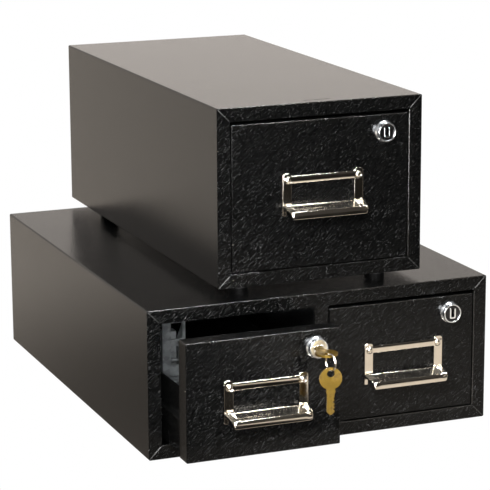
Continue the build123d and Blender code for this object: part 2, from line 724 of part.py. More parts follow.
def make_follower(bay):
    """The follower: a saddle on the floor rail, a windowed post and a wide card plate."""
    front = bay.front + FOLLOWER_SETBACK
    saddle_low = bay.floor + FLOOR_RAIL_HEIGHT + FOLLOWER_GAP
    saddle_top = saddle_low + FOLLOWER_SHEET
    cheek = FLOOR_RAIL_WIDTH / 2 + FOLLOWER_GAP
    outer = cheek + FOLLOWER_SHEET
    plate_low = bay.tray_bottom + bay.side_height
    plate_high = bay.floor + bay.card_height + CARD_PLATE_RISE
    plate_width = bay.tray_width - 2 * SHEET - 2 * CARD_PLATE_SIDE_GAP
    window_x = bay.x + POST_WINDOW_SHIFT
    lever_gap = LEVER_WIDTH / 2 + FOLLOWER_GAP
    with BuildPart() as follower:
        with BuildSketch(facing(front)) as post:
            with Locations((bay.x, saddle_low)):
                Rectangle(
                    POST_WIDTH,
                    plate_high - CARD_PLATE_RISE - saddle_low,
                    align=(Align.CENTER, Align.MIN),
                )
            with Locations((bay.x, (plate_low + plate_high) / 2)):
                RectangleRounded(plate_width, plate_high - plate_low, CARD_PLATE_RADIUS)
            with Locations((window_x, bay.floor + POST_LOWER_WINDOW)):
                Rectangle(
                    POST_WINDOW_WIDTH,
                    POST_BAR - POST_LOWER_WINDOW,
                    align=(Align.CENTER, Align.MIN),
                    mode=Mode.SUBTRACT,
                )
            with Locations((window_x, bay.floor + POST_UPPER_WINDOW)):
                Rectangle(
                    POST_WINDOW_WIDTH,
                    plate_low - SHEET - bay.floor - POST_UPPER_WINDOW,
                    align=(Align.CENTER, Align.MIN),
                    mode=Mode.SUBTRACT,
                )
        extrude(amount=-FOLLOWER_SHEET)
        flange_half = plate_width / 2 - CARD_PLATE_RADIUS
        span(
            (bay.x - flange_half, bay.x + flange_half),
            (front, front + CARD_PLATE_FLANGE),
            (plate_high - FOLLOWER_SHEET, plate_high),
        )
        span(
            (bay.x - outer, bay.x + outer),
            (front, front + FOLLOWER_LENGTH),
            (bay.floor + FOLLOWER_GAP, saddle_top),
        )
        span(
            (bay.x - cheek, bay.x + cheek),
            (front, front + FOLLOWER_LENGTH),
            (bay.floor + FOLLOWER_GAP, saddle_low),
            mode=Mode.SUBTRACT,
        )
        span(
            (bay.x - lever_gap, bay.x + lever_gap),
            (front + LEVER_SETBACK / 2, front + LEVER_SETBACK + LEVER_TAB),
            (saddle_low, saddle_top),
            mode=Mode.SUBTRACT,
        )
        for start in (bay.x - outer, bay.x + cheek):
            with BuildSketch(Plane.YZ.offset(start)) as rib:
                with BuildLine() as rib_outline:
                    Polyline(
                        (front, saddle_low),
                        (front + FOLLOWER_LENGTH, saddle_low),
                        (front + FOLLOWER_LENGTH, saddle_top),
                        (front + LEVER_SETBACK + LEVER_TAB, bay.floor + LEVER_PIVOT_RISE + LEVER_TAB),
                        (front, plate_low),
                        close=True,
                    )
                make_face()
                with Locations((front + LEVER_SETBACK, bay.floor + LEVER_PIVOT_RISE)):
                    Circle(LEVER_PIN_RADIUS + LEVER_PIN_CLEARANCE, mode=Mode.SUBTRACT)
            extrude(amount=FOLLOWER_SHEET)
    save(follower, f"{bay.name}_follower")


def make_lever(bay):
    """The thumb lever that frees the follower, on a pin between the saddle's ribs."""
    pivot_y = bay.front + FOLLOWER_SETBACK + LEVER_SETBACK
    pivot_z = bay.floor + LEVER_PIVOT_RISE
    toe = bay.floor + FLOOR_RAIL_HEIGHT + LEVER_TOE_GAP
    top = bay.floor + LEVER_RISE
    half = LEVER_WIDTH / 2
    half_sheet = LEVER_SHEET / 2
    pin_half = FLOOR_RAIL_WIDTH / 2 + FOLLOWER_GAP + FOLLOWER_SHEET
    with BuildPart() as lever:
        span(
            (bay.x - half, bay.x + half),
            (pivot_y - half_sheet, pivot_y + half_sheet),
            (toe, top),
        )
        span(
            (bay.x - half, bay.x + half),
            (pivot_y - half_sheet, pivot_y + LEVER_TAB),
            (top - LEVER_SHEET, top),
        )
        fillet(lever.edges().filter_by(Axis.Z).group_by(Axis.Y)[-1], LEVER_TAB / 4)
        for radius, reach in ((LEVER_BARREL_RADIUS, half), (LEVER_PIN_RADIUS, pin_half)):
            with Locations(Location((bay.x, pivot_y, pivot_z), (0, 90, 0))):
                Cylinder(radius, 2 * reach)
    save(lever, f"{bay.name}_follower_lever")


# Cam locks


def lock_section(bay):
    """The plane through the lock's axis on which its turned pieces are drawn."""
    return Plane(origin=(bay.lock_x, bay.front, bay.lock_z), x_dir=(1, 0, 0), z_dir=(0, 0, 1))


def make_lock_body(bay):
    """The lock housing: a bevelled head and a barrel through the pan and the tray wall."""
    bore = PLUG_RADIUS + PLUG_CLEARANCE
    with BuildPart() as body:
        with BuildSketch(lock_section(bay)) as half:
            with BuildLine() as outline:
                Polyline(
                    (bore, -LOCK_HEAD_REACH),
                    (LOCK_FACE_RADIUS, -LOCK_HEAD_REACH),
                    (LOCK_HEAD_RADIUS, -LOCK_HEAD_REACH + LOCK_BEVEL),
                    (LOCK_HEAD_RADIUS, 0),
                    (LOCK_BARREL_RADIUS, 0),
                    (LOCK_BARREL_RADIUS, LOCK_BARREL_END),
                    (bore, LOCK_BARREL_END),
                    close=True,
                )
            make_face()
        revolve(axis=Axis((bay.lock_x, bay.front, bay.lock_z), (0, 1, 0)))
    save(body, f"{bay.name}_lock_body")


def keyway_size(level):
    """The keyway's width and height: upright when the drawer rests closed, level if not."""
    narrow = KEY_THICKNESS + 2 * KEYWAY_CLEARANCE
    tall = KEY_BLADE_WIDTH + 2 * KEYWAY_CLEARANCE
    return (tall, narrow) if level else (narrow, tall)


def make_lock_plug(bay, level):
    """The turning plug with its keyway and the square tail that carries the cam."""
    face_y = bay.front - LOCK_HEAD_REACH + PLUG_RECESS
    tail_y = bay.front + LOCK_BARREL_END
    keyway_depth = KEY_BLADE_LENGTH + PLUG_RECESS + KEYWAY_END_GAP
    with BuildPart() as plug:
        with BuildSketch(facing(face_y)) as round_section:
            with Locations((bay.lock_x, bay.lock_z)):
                Circle(PLUG_RADIUS)
        extrude(amount=-(tail_y - face_y))
        with BuildSketch(facing(tail_y)) as tail:
            with Locations((bay.lock_x, bay.lock_z)):
                Rectangle(PLUG_TAIL, PLUG_TAIL)
        extrude(amount=-(CAM_CLEARANCE + CAM_THICKNESS))
        with BuildSketch(facing(tail_y + CAM_CLEARANCE + CAM_THICKNESS)) as screw_hole:
            with Locations((bay.lock_x, bay.lock_z)):
                Circle(CAM_SCREW_RADIUS)
        extrude(amount=CAM_SCREW_LENGTH, mode=Mode.SUBTRACT)
        width, height = keyway_size(level)
        with BuildSketch(facing(face_y)) as keyway:
            with Locations((bay.lock_x, bay.lock_z)):
                Rectangle(width, height)
        extrude(amount=-keyway_depth, mode=Mode.SUBTRACT)
    save(plug, f"{bay.name}_lock_plug")


def make_lock_cam(bay, direction):
    """The cam on the plug's tail, pointing the way that direction gives in x and z."""
    tip = (bay.lock_x + direction[0] * CAM_REACH, bay.lock_z + direction[1] * CAM_REACH)
    with BuildPart() as cam:
        with BuildSketch(facing(bay.front + CAM_FRONT)) as outline:
            with Locations((bay.lock_x, bay.lock_z)):
                Circle(CAM_ROOT_RADIUS)
            with Locations(tip):
                Circle(CAM_TIP_RADIUS)
            make_hull()
            with Locations((bay.lock_x, bay.lock_z)):
                Rectangle(PLUG_TAIL, PLUG_TAIL, mode=Mode.SUBTRACT)
        extrude(amount=-CAM_THICKNESS)
    save(cam, f"{bay.name}_lock_cam")


def make_lock_nut(bay):
    """The hexagon nut that clamps the lock to the tray's wall."""
    with BuildPart() as nut:
        with BuildSketch(facing(bay.front + TRAY_FRONT + SHEET)) as outline:
            with Locations((bay.lock_x, bay.lock_z)):
                RegularPolygon(LOCK_NUT_RADIUS, 6)
                Circle(LOCK_BARREL_RADIUS, mode=Mode.SUBTRACT)
        extrude(amount=-LOCK_NUT_THICKNESS)
    save(nut, f"{bay.name}_lock_nut")


def make_cam_screw(bay):
    """The slotted screw that holds the cam on the plug's tail."""
    seat = bay.front + CAM_FRONT + CAM_THICKNESS
    with BuildPart() as screw:
        with BuildSketch(facing(seat)) as head:
            with Locations((bay.lock_x, bay.lock_z)):
                Circle(CAM_SCREW_HEAD_RADIUS)
        extrude(amount=-CAM_SCREW_HEAD)
        fillet(screw.faces().sort_by(Axis.Y)[-1].edges(), CAM_SCREW_HEAD / 4)
        with BuildSketch(facing(seat)) as shank:
            with Locations((bay.lock_x, bay.lock_z)):
                Circle(CAM_SCREW_RADIUS)
        extrude(amount=CAM_SCREW_LENGTH - SHEET)
        with BuildSketch(facing(seat + CAM_SCREW_HEAD)) as slot:
            with Locations((bay.lock_x, bay.lock_z)):
                Rectangle(2 * CAM_SCREW_HEAD_RADIUS, CAM_SCREW_SLOT)
        extrude(amount=CAM_SCREW_HEAD / 2, mode=Mode.SUBTRACT)
    save(screw, f"{bay.name}_cam_screw")


# Keys


def make_key(name, plane):
    """One key cut from flat strip, lying along the plane's x axis from its bow's centre."""
    blade_start = KEY_BOW_RADIUS - KEY_BOW_OVERLAP + KEY_STUB
    blade_end = blade_start + KEY_BLADE_LENGTH
    point_start = blade_end - KEY_BLADE_WIDTH / 3
    half_blade = KEY_BLADE_WIDTH / 2
    cut_pitch = (point_start - blade_start) / len(KEY_CUT_DEPTHS)
    with BuildPart() as key:
        with BuildSketch(plane) as outline:
            Circle(KEY_BOW_RADIUS)
            Rectangle(blade_start, KEY_SHOULDER_WIDTH, align=(Align.MIN, Align.CENTER))
            with BuildLine() as blade:
                Polyline(
                    (blade_start, -half_blade),
                    (point_start, -half_blade),
                    (blade_end, 0),
                    (point_start, half_blade),
                    (blade_start, half_blade),
                    close=True,
                )
            make_face()
            for index, depth in enumerate(KEY_CUT_DEPTHS):
                with Locations((blade_start + cut_pitch * (index + 0.5), half_blade)):
                    Rectangle(KEY_CUT_WIDTH, 2 * depth, mode=Mode.SUBTRACT)
            with Locations((KEY_HOLE_RADIUS + KEY_WEB - KEY_BOW_RADIUS, 0)):
                Circle(KEY_HOLE_RADIUS, mode=Mode.SUBTRACT)
        extrude(amount=KEY_THICKNESS / 2, both=True)
    save(key, name)


def make_key_ring(centre):
    """The wire ring: a closed hoop in an upright plane turned from the key's length."""
    turn = radians(RING_TURN)
    along = (-sin(turn), cos(turn), 0)
    across = (cos(turn), sin(turn), 0)
    hoop_plane = Plane(origin=centre, x_dir=along, z_dir=across)
    with BuildPart() as ring:
        with BuildLine(hoop_plane) as hoop:
            CenterArc((0, 0), RING_RADIUS, 0, 360)
        start = Plane(origin=hoop.line @ 0, z_dir=hoop.line % 0)
        with BuildSketch(start) as wire:
            Circle(RING_WIRE_RADIUS)
        sweep()
    save(ring, "key_ring")


for cabinet in (lower, upper):
    make_casing(cabinet)
    make_back_panel(cabinet)
    make_feet(cabinet)
make_divider(lower)
make_strikes(lower, (left, right))
make_strikes(upper, (single,))
make_channels(
    lower,
    (
        (left, -1, WALL_SPACE),
        (left, 1, DIVIDER_SPACE),
        (right, -1, DIVIDER_SPACE),
        (right, 1, WALL_SPACE),
    ),
)
make_channels(upper, ((single, -1, WALL_SPACE), (single, 1, WALL_SPACE)))

for bay in (left, right, single):
    key_level = bay is left
    make_front(bay)
    make_tray(bay)
    make_rails(bay)
    make_rollers(bay, bay.front + TRAY_ROLLER_SETBACK, f"{bay.name}_tray_rollers")
    make_rollers(bay, bay.cabinet.front + CASE_ROLLER_SETBACK, f"{bay.name}_case_rollers")
    make_pull(bay)
    make_rivets(bay)
    make_floor_rail(bay)
    make_follower(bay)
    make_lever(bay)
    make_lock_body(bay)
    make_lock_plug(bay, key_level)
    make_lock_cam(bay, (-1, 0) if key_level else (0, -1))
    make_lock_nut(bay)
    make_cam_screw(bay)

web_centre = (left.lock_x, left.front - KEY_WEB_REACH, left.lock_z)
ring_drop = RING_RADIUS - KEY_THICKNESS / 2 - RING_SEAT_GAP - RING_WIRE_RADIUS
ring_centre = (web_centre[0], web_centre[1], web_centre[2] - ring_drop)
spare_hole_z = ring_centre[2] - RING_RADIUS + RING_WIRE_RADIUS + SPARE_SEAT_GAP - KEY_HOLE_RADIUS
spare_bow_z = spare_hole_z - (KEY_BOW_RADIUS - KEY_WEB - KEY_HOLE_RADIUS)
spare_angle = radians(SPARE_TURN)

make_key(
    "lock_key",
    Plane(
        origin=(left.lock_x, left.front - KEY_BOW_REACH, left.lock_z),
        x_dir=(0, 1, 0),
        z_dir=(0, 0, 1),
    ),
)
make_key_ring(ring_centre)
make_key(
    "spare_key",
    Plane(
        origin=(ring_centre[0], ring_centre[1], spare_bow_z),
        x_dir=(0, 0, -1),
        z_dir=(-sin(spare_angle), -cos(spare_angle), 0),
    ),
)
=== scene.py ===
# %% [markdown]
# # A stack of two card index cabinets
# This notebook dresses a finished construction model of two steel card cabinets, one standing on
# the other. The construction model is the fixed frame: every casing, drawer, tray, slide and lock
# is already in its place and at its real size. Here each surface gets its finish, and the small
# formed parts that are seen from close by, the label pulls, locks, keys and ring, get the rounded
# edges and pressed shapes that the bench pieces have.

# %% Load the construction model
import json
import math

import bmesh
import bpy
from mathutils import Matrix, Vector


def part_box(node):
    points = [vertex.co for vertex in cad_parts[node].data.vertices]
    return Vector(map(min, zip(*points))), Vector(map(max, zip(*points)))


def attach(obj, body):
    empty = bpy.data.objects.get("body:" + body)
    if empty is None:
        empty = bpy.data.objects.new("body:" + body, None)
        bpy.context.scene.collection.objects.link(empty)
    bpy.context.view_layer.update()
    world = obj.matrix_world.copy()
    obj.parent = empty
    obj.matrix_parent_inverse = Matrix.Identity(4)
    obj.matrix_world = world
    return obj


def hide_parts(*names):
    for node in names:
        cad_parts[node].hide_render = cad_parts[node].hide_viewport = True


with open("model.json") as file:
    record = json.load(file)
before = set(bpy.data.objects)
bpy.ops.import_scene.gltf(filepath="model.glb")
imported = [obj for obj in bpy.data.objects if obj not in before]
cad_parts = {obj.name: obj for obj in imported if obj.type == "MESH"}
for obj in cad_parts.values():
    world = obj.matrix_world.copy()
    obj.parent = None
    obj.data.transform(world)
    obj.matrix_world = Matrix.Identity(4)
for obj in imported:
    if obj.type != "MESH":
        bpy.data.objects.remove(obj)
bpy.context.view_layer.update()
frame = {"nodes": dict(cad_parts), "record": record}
nodes = frame["nodes"]
MM = 0.001
CABINETS = ("lower", "upper")
DRAWERS = ("left", "right", "upper")

# %% [markdown]
# ## Camera
# The picture was taken from the left of the fronts and a little above them, from about two
# metres away with a long lens, so the cabinet's edges hardly converge. A camera is given by its
# place and by three angles: how far it is turned to the side, how far it looks down, and how far
# it leans. The three are turned into the camera's own axes by hand, because a Blender camera
# looks along its own -Z with its own +Y upwards.

# %% Set the camera
CAMERA_PLACE = Vector((-0.7442, -1.8359, 0.6132))
CAMERA_TURN = math.radians(21.98)
CAMERA_DOWN = math.radians(13.37)
CAMERA_LEAN = math.radians(0.30)
LENS = 162.1
SENSOR = 36.0


def camera_axes(turn, down, lean):
    """The camera's right, up and backward directions."""
    ahead = Vector(
        (math.sin(turn) * math.cos(down), math.cos(turn) * math.cos(down), -math.sin(down))
    )
    right = ahead.cross(Vector((0, 0, 1))).normalized()
    below = ahead.cross(right)
    leaned_right = right * math.cos(lean) + below * math.sin(lean)
    leaned_below = below * math.cos(lean) - right * math.sin(lean)
    return leaned_right, -leaned_below, -ahead


camera_data = bpy.data.cameras.new("camera")
camera_data.lens = LENS
camera_data.sensor_width = SENSOR
camera = bpy.data.objects.new("camera", camera_data)
bpy.context.scene.collection.objects.link(camera)
axes = camera_axes(CAMERA_TURN, CAMERA_DOWN, CAMERA_LEAN)
camera.matrix_world = Matrix.Translation(CAMERA_PLACE) @ Matrix(axes).transposed().to_4x4()
bpy.context.scene.camera = camera
print("camera at", tuple(round(v, 3) for v in CAMERA_PLACE))

# %% [markdown]
# ## Shader arithmetic
# Masks and heights are easier to read as sums than as a list of nodes. One small class wraps an
# output socket so that Python's own signs add the Math nodes, and a second one holds a material
# and makes every other kind of node through a single method.

# %% Write node trees as expressions


class Link:
    """An output socket that adds, subtracts and multiplies with numbers and other links."""

    def __init__(self, paint, socket):
        self.paint = paint
        self.socket = socket

    def math(self, operation, *values):
        return self.paint.node("ShaderNodeMath", {"operation": operation}, dict(enumerate(values)))

    def __add__(self, other):
        return self.math("ADD", self, other)

    def __radd__(self, other):
        return self.math("ADD", other, self)

    def __sub__(self, other):
        return self.math("SUBTRACT", self, other)

    def __rsub__(self, other):
        return self.math("SUBTRACT", other, self)

    def __mul__(self, other):
        return self.math("MULTIPLY", self, other)

    def __rmul__(self, other):
        return self.math("MULTIPLY", other, self)

    def __abs__(self):
        return self.math("ABSOLUTE", self)


class Paint:
    """A material or a world whose nodes are made one call at a time."""

    def __init__(self, holder):
        self.holder = holder
        holder.use_nodes = True
        self.tree = holder.node_tree
        self.tree.nodes.clear()

    def node(self, kind, settings=None, inputs=None, output=0):
        """Add a node, set its settings and then its sockets, and return one output."""
        made = self.tree.nodes.new(kind)
        for key, value in (settings or {}).items():
            setattr(made, key, value)
        for key, value in (inputs or {}).items():
            if isinstance(value, Link):
                self.tree.links.new(value.socket, made.inputs[key])
            else:
                made.inputs[key].default_value = value
        return Link(self, made.outputs[output]) if made.outputs else made

    def place(self, scale=(1, 1, 1), turn=(0, 0, 0)):
        """Object coordinates, turned and then stretched."""
        where = self.node("ShaderNodeTexCoord", output="Object")
        turned = self.node(
            "ShaderNodeMapping", {"vector_type": "POINT"}, {"Vector": where, "Rotation": turn}
        )
        return self.node(
            "ShaderNodeVectorMath", {"operation": "MULTIPLY"}, {0: turned, 1: scale}
        )

    def along(self, vector, axis):
        """One coordinate of a vector."""
        return self.node("ShaderNodeSeparateXYZ", None, {0: vector}, axis)

    def facing(self, axis):
        """How far the surface's own normal points along an axis."""
        return self.along(self.node("ShaderNodeTexCoord", output="Normal"), axis)

    def noise(self, vector, scale, detail=2.0, roughness=0.5, output="Fac"):
        """A soft random pattern that changes about as often to the metre as scale says."""
        sockets = {"Vector": vector, "Scale": scale, "Detail": detail, "Roughness": roughness}
        return self.node("ShaderNodeTexNoise", None, sockets, output)

    def cells(self, vector, scale, output, feature="F1"):
        """A pattern of random cells: each one's colour, or how far its middle or edge is."""
        sockets = {"Vector": vector, "Scale": scale}
        return self.node("ShaderNodeTexVoronoi", {"feature": feature}, sockets, output)

    def red(self, shade):
        """The red of a colour, which is one random number where a cell's colour is given."""
        return self.node("ShaderNodeSeparateColor", None, {0: shade}, 0)

    def step(self, value, low, high):
        """A soft step from 0 at low to 1 at high."""
        sockets = {"Value": value, "From Min": low, "From Max": high}
        return self.node("ShaderNodeMapRange", {"interpolation_type": "SMOOTHSTEP"}, sockets)

    def mix(self, amount, first, second):
        """A colour between two colours."""
        sockets = {0: amount, 6: first, 7: second}
        return self.node("ShaderNodeMix", {"data_type": "RGBA"}, sockets, 2)

    def bump(self, height, distance):
        """A bent normal; distance is how high, in metres, a height of 1 stands."""
        return self.node("ShaderNodeBump", None, {"Height": height, "Distance": distance}, "Normal")

    def surface(self, **sockets):
        """The finished surface: socket names in words joined by underscores."""
        named = {key.replace("_", " "): value for key, value in sockets.items()}
        shaded = self.node("ShaderNodeBsdfPrincipled", None, named, "BSDF")
        self.node("ShaderNodeOutputMaterial", None, {"Surface": shaded})
        return self.holder


def colour(red, green, blue):
    """A colour with nothing see-through in it, as a socket takes it."""
    return (red, green, blue, 1.0)


def darker(shade, share):
    return colour(*[channel * share for channel in shade[:3]])


def new_paint(name):
    return Paint(bpy.data.materials.new(name))


print("shader helpers", [name for name in dir(Paint) if not name.startswith("_")])

# %% [markdown]
# ## Grained enamel
# The sheet steel is coated with a black wrinkle enamel that looks like leather: short creases,
# four to eight millimetres long, that lean the same way and break up into small pebbles. It is
# semi-gloss, so the creases show as sparkling dashes where a lamp is mirrored and the long
# surfaces turn a warm grey where they are seen at a low angle. The creases could be sculpted, but
# there are thousands of them and they are too fine for a mesh, so a bump carries them. Its height
# is a sum: ridges taken from the peaks of a turned and stretched noise, the edges of small cells,
# and a fine pebble. Slow patches let the ridges fade in and out, and a few tiny pale chips break
# the black. The coating flows out flatter on the wide top and side sheets than on the pressed
# fronts, so the normal is read and the height is lower where it doesn't point forward.

# %% Black grained enamel
CREASE_LEAN = math.radians(-50)
CREASE_SQUEEZE = (1.0, 1.0, 0.28)
CREASE_DRIFT = (0.0035, 0.0035, 0.0035)
GRAIN_HEIGHT = 0.0008
# The crease lines take the darker black as painted shade; the cells between them take the lighter
# one.
PAINTED_CREASE_SHADE = colour(0.0030, 0.0031, 0.0031)
CELL_BLACK = colour(0.0050, 0.0051, 0.0050)
CHIP_SCALE = 55.0
CHIP_TONE = colour(0.42, 0.40, 0.33)


def chipped(paint, tone):
    """The tone with a pale chip in the middle of one cell in twenty or so."""
    where = paint.place()
    luck = paint.red(paint.cells(where, CHIP_SCALE, "Color"))
    reach = paint.cells(where, CHIP_SCALE, "Distance")
    chips = paint.step(luck, low=0.955, high=0.96) * (1.0 - paint.step(reach, low=0.02, high=0.035))
    return paint.mix(chips, tone, CHIP_TONE)


def grained_enamel(name, flat_grain, shine, level=0.13, depth=1.0):
    """Black enamel with its leather grain.

    flat_grain is the share of the grain that is left on tops and sides, shine the gloss of the
    tops, level how strongly light is mirrored, and depth the height of the ridges.
    """
    paint = new_paint(name)
    where = paint.place(CREASE_SQUEEZE, (0, CREASE_LEAN, 0))
    drift = paint.noise(paint.place(), scale=70.0, output="Color")
    swirl = paint.node(
        "ShaderNodeVectorMath", {"operation": "MULTIPLY_ADD"}, {0: drift, 1: CREASE_DRIFT, 2: where}
    )
    ridges = paint.step(paint.noise(swirl, scale=1150.0, detail=0.0), low=0.63, high=0.69)
    edges = paint.cells(swirl, 360.0, "Distance", "DISTANCE_TO_EDGE")
    creases = paint.step(edges, low=0.0, high=0.16)
    pebble = paint.noise(paint.place(), scale=1300.0, detail=1.0)
    patches = paint.step(paint.noise(paint.place(), scale=24.0, detail=1.0), low=0.3, high=0.7)
    ahead = paint.step(abs(paint.facing("Y")), low=0.6, high=0.95)
    upward = paint.step(paint.facing("Z"), low=0.7, high=0.95)
    fine = pebble * (ahead * -0.1 + 0.12)
    strength = (flat_grain + ahead * (1.0 - flat_grain)) * depth
    height = (ridges * 0.6 * (0.4 + patches * 0.6) + creases * 0.05) * strength + fine
    return paint.surface(
        # Painted shade: the crease lines are a little darker than the cells between them.
        Base_Color=chipped(paint, paint.mix(creases, PAINTED_CREASE_SHADE, CELL_BLACK)),
        Roughness=0.13 + pebble * 0.06 - ahead * 0.03,
        Specular_IOR_Level=level,
        Coat_Weight=upward * shine * (0.2 + pebble * 1.6),
        Coat_Roughness=0.24,
        Normal=paint.bump(height, GRAIN_HEIGHT),
    )


enamel = grained_enamel("black_grained_enamel", flat_grain=0.16, shine=0.3, depth=0.7)
upper_enamel = grained_enamel("black_upper_enamel", flat_grain=0.25, shine=0.3, depth=0.45)
# The lower casing's copy has no gloss on its top: painted shade for the upper cabinet standing on
# it.
shaded_lower_enamel = grained_enamel("black_low_enamel", flat_grain=0.2, shine=0.0, depth=0.6)
tray_enamel = grained_enamel("black_tray_enamel", flat_grain=0.4, shine=0.1)
fold_enamel = grained_enamel("black_fold_enamel", flat_grain=0.4, shine=0.0, level=0.9)
print("enamels", [material.name for material in bpy.data.materials if "enamel" in material.name])

# %% [markdown]
# ## Plated and moulded finishes
# The slides and the follower are zinc-coated sheet, whose crystals show as patches of lighter and
# darker grey. The pulls are nickel plate, which is warmer than the chrome of the locks, and the
# lock heads have a softer shine than the guards in them. Keys are stamped from brass strip.
# Rollers are white nylon, and the feet are black rubber. A plain colour would look like plastic
# on all of them, so each finish has a slow cloud that changes how dull it is, as handling and
# dust do, and a bump so low that it only ripples what is mirrored. Plate that faces up is duller
# still.

# %% Metals, nylon and rubber


def galvanised(name):
    """Zinc-coated sheet with its patches of crystals."""
    paint = new_paint(name)
    where = paint.place()
    grey = paint.red(paint.cells(where, 260.0, "Color"))
    cloud = paint.noise(where, scale=45.0, detail=3.0)
    dark_zinc, light_zinc = colour(0.20, 0.215, 0.22), colour(0.52, 0.545, 0.555)
    return paint.surface(
        Base_Color=paint.mix(grey * 0.6 + cloud * 0.4, dark_zinc, light_zinc),
        Metallic=0.55,
        Roughness=0.38 + grey * 0.18,
        Normal=paint.bump(cloud, distance=0.0002),
    )


def plated(name, shade, rough, wear=0.25):
    """Bright plate over pressed steel, dulled in fine clouds by handling."""
    paint = new_paint(name)
    patches = paint.noise(paint.place(), scale=90.0, detail=4.0, roughness=0.6)
    cloud = paint.step(patches, low=0.35, high=0.75)
    polish = paint.noise(paint.place((1, 8, 8)), scale=600.0)
    upward = paint.step(paint.facing("Z"), low=0.8, high=0.97)
    return paint.surface(
        Base_Color=paint.mix(cloud * wear, shade, darker(shade, 0.78)),
        Metallic=1.0,
        Roughness=rough + cloud * 0.05 + upward * 0.11,
        Normal=paint.bump(polish, distance=0.000003),
    )


def brass(name):
    """Brass that has gone dark and dull in patches, with fine lines along the strip."""
    paint = new_paint(name)
    cloud = paint.noise(paint.place(), scale=120.0, detail=5.0, roughness=0.6)
    grain = paint.noise(paint.place((9, 1, 1)), scale=900.0)
    worn = paint.step(cloud, low=0.42, high=0.72)
    return paint.surface(
        Base_Color=paint.mix(worn, colour(0.185, 0.115, 0.015), colour(0.08, 0.047, 0.008)),
        Metallic=0.8,
        Roughness=0.34 + worn * 0.2,
        Normal=paint.bump(grain, distance=0.000008),
    )


def moulded(name, shade, rough):
    """A plain matt finish for nylon, rubber and thick paint."""
    paint = new_paint(name)
    cloud = paint.noise(paint.place(), scale=200.0, detail=3.0)
    skin = paint.noise(paint.place(), scale=2500.0)
    return paint.surface(
        Base_Color=paint.mix(cloud, shade, darker(shade, 0.85)),
        Roughness=rough + cloud * 0.1,
        Normal=paint.bump(skin, distance=0.00002),
    )


zinc = galvanised("galvanised_sheet")
bright_zinc = plated("bright_zinc", colour(0.62, 0.63, 0.62), rough=0.30)
nickel = plated("nickel_plate", colour(0.66, 0.615, 0.54), rough=0.08)
chrome = plated("chrome_plate", colour(0.80, 0.84, 0.88), rough=0.08, wear=0.1)
satin_chrome = plated("satin_chrome", colour(0.80, 0.83, 0.86), rough=0.19, wear=0.1)
dark_plate = plated("dark_plate", colour(0.05, 0.05, 0.052), rough=0.22)
# A pale, rougher plate for the left lock's plug: a painted highlight on that plug's face.
painted_highlight_plug = plated("painted_highlight_plug", colour(0.72, 0.66, 0.52), rough=0.30)
key_brass = brass("key_brass")
nylon = moulded("white_nylon", colour(0.80, 0.79, 0.74), rough=0.45)
rubber = moulded("black_rubber", colour(0.018, 0.018, 0.018), rough=0.6)
# A lighter grey than the enamel for the mitre seams: a painted highlight along their raised line.
painted_seam_highlight = moulded("painted_seam_highlight", colour(0.028, 0.028, 0.026), rough=0.4)
print("materials", len(bpy.data.materials))

# %% Give the construction model its finishes
FINISHES = {
    "black_enamel": enamel,
    "galvanised_steel": zinc,
    "nickel_plate": nickel,
    "chrome_plate": chrome,
    "plug_metal": dark_plate,
    "zinc_plate": bright_zinc,
    "brass": key_brass,
    "ring_wire": chrome,
    "white_nylon": nylon,
    "rubber": rubber,
}


def finish(piece, material):
    """Give every slot of a piece one material."""
    if not piece.material_slots:
        piece.data.materials.append(material)
    for slot in piece.material_slots:
        slot.material = material


for entry in frame["record"]["subparts"]:
    finish(nodes[entry["node"]], FINISHES[entry["material_slot"]])
for side in DRAWERS:
    finish(nodes[f"{side}_tray"], tray_enamel)
# The lower casing takes the copy without gloss on its top, as painted shade under the upper
# cabinet.
finish(nodes["lower_casing"], shaded_lower_enamel)
finish(nodes["upper_casing"], upper_enamel)
finish(nodes["upper_drawer_front"], upper_enamel)

# %% [markdown]
# ## Bench tools
# Every new piece starts as a primitive at the middle of the bench and is shaped in edit mode.
# The faces, edges and points that an operator works on are picked by their place, measured in
# millimetres from the bench's middle, so the steps read like a drawing. When a piece is done it
# is carried to its place, and its object is left at the origin, as the construction model's are.

# %% Helpers for working in edit mode
SMOOTH_ANGLE = math.radians(40)


def only(piece):
    """Select one piece alone and make it the active one."""
    bpy.ops.object.select_all(action="DESELECT")
    piece.select_set(True)
    bpy.context.view_layer.objects.active = piece


def settle(piece):
    """Put the object's place, turn and scale into its mesh."""
    only(piece)
    bpy.ops.object.transform_apply(location=True, rotation=True, scale=True)


def start(name, add, **settings):
    """Add a primitive, name it and open it in edit mode with nothing selected."""
    bpy.ops.object.select_all(action="DESELECT")
    add(**settings)
    piece = bpy.context.object
    piece.name = name
    settle(piece)
    bpy.ops.object.mode_set(mode="EDIT")
    bpy.ops.mesh.select_all(action="DESELECT")
    return piece


def pick(piece, kind, test):
    """Select the points, edges or faces whose middle, in millimetres, passes the test."""
    bpy.ops.mesh.select_all(action="DESELECT")
    bpy.ops.mesh.select_mode(type=kind)
    shape = bmesh.from_edit_mesh(piece.data)
    groups = {"VERT": shape.verts, "EDGE": shape.edges, "FACE": shape.faces}
    for item in groups[kind]:
        points = [item.co] if kind == "VERT" else [point.co for point in item.verts]
        middle = sum(points, Vector()) / len(points) / MM
        if test(middle, [point / MM for point in points]):
            item.select_set(True)
    shape.select_flush_mode()
    bmesh.update_edit_mesh(piece.data)


def cut(axis, *places):
    """Cut the whole mesh across one axis at each place in millimetres."""
    normal = [0, 0, 0]
    normal["xyz".index(axis)] = 1
    for place in places:
        bpy.ops.mesh.select_all(action="SELECT")
        middle = [value * place * MM for value in normal]
        bpy.ops.mesh.bisect(plane_co=middle, plane_no=normal)


def shift(x=0.0, y=0.0, z=0.0):
    """Move what is selected by millimetres."""
    bpy.ops.transform.translate(value=(x * MM, y * MM, z * MM))


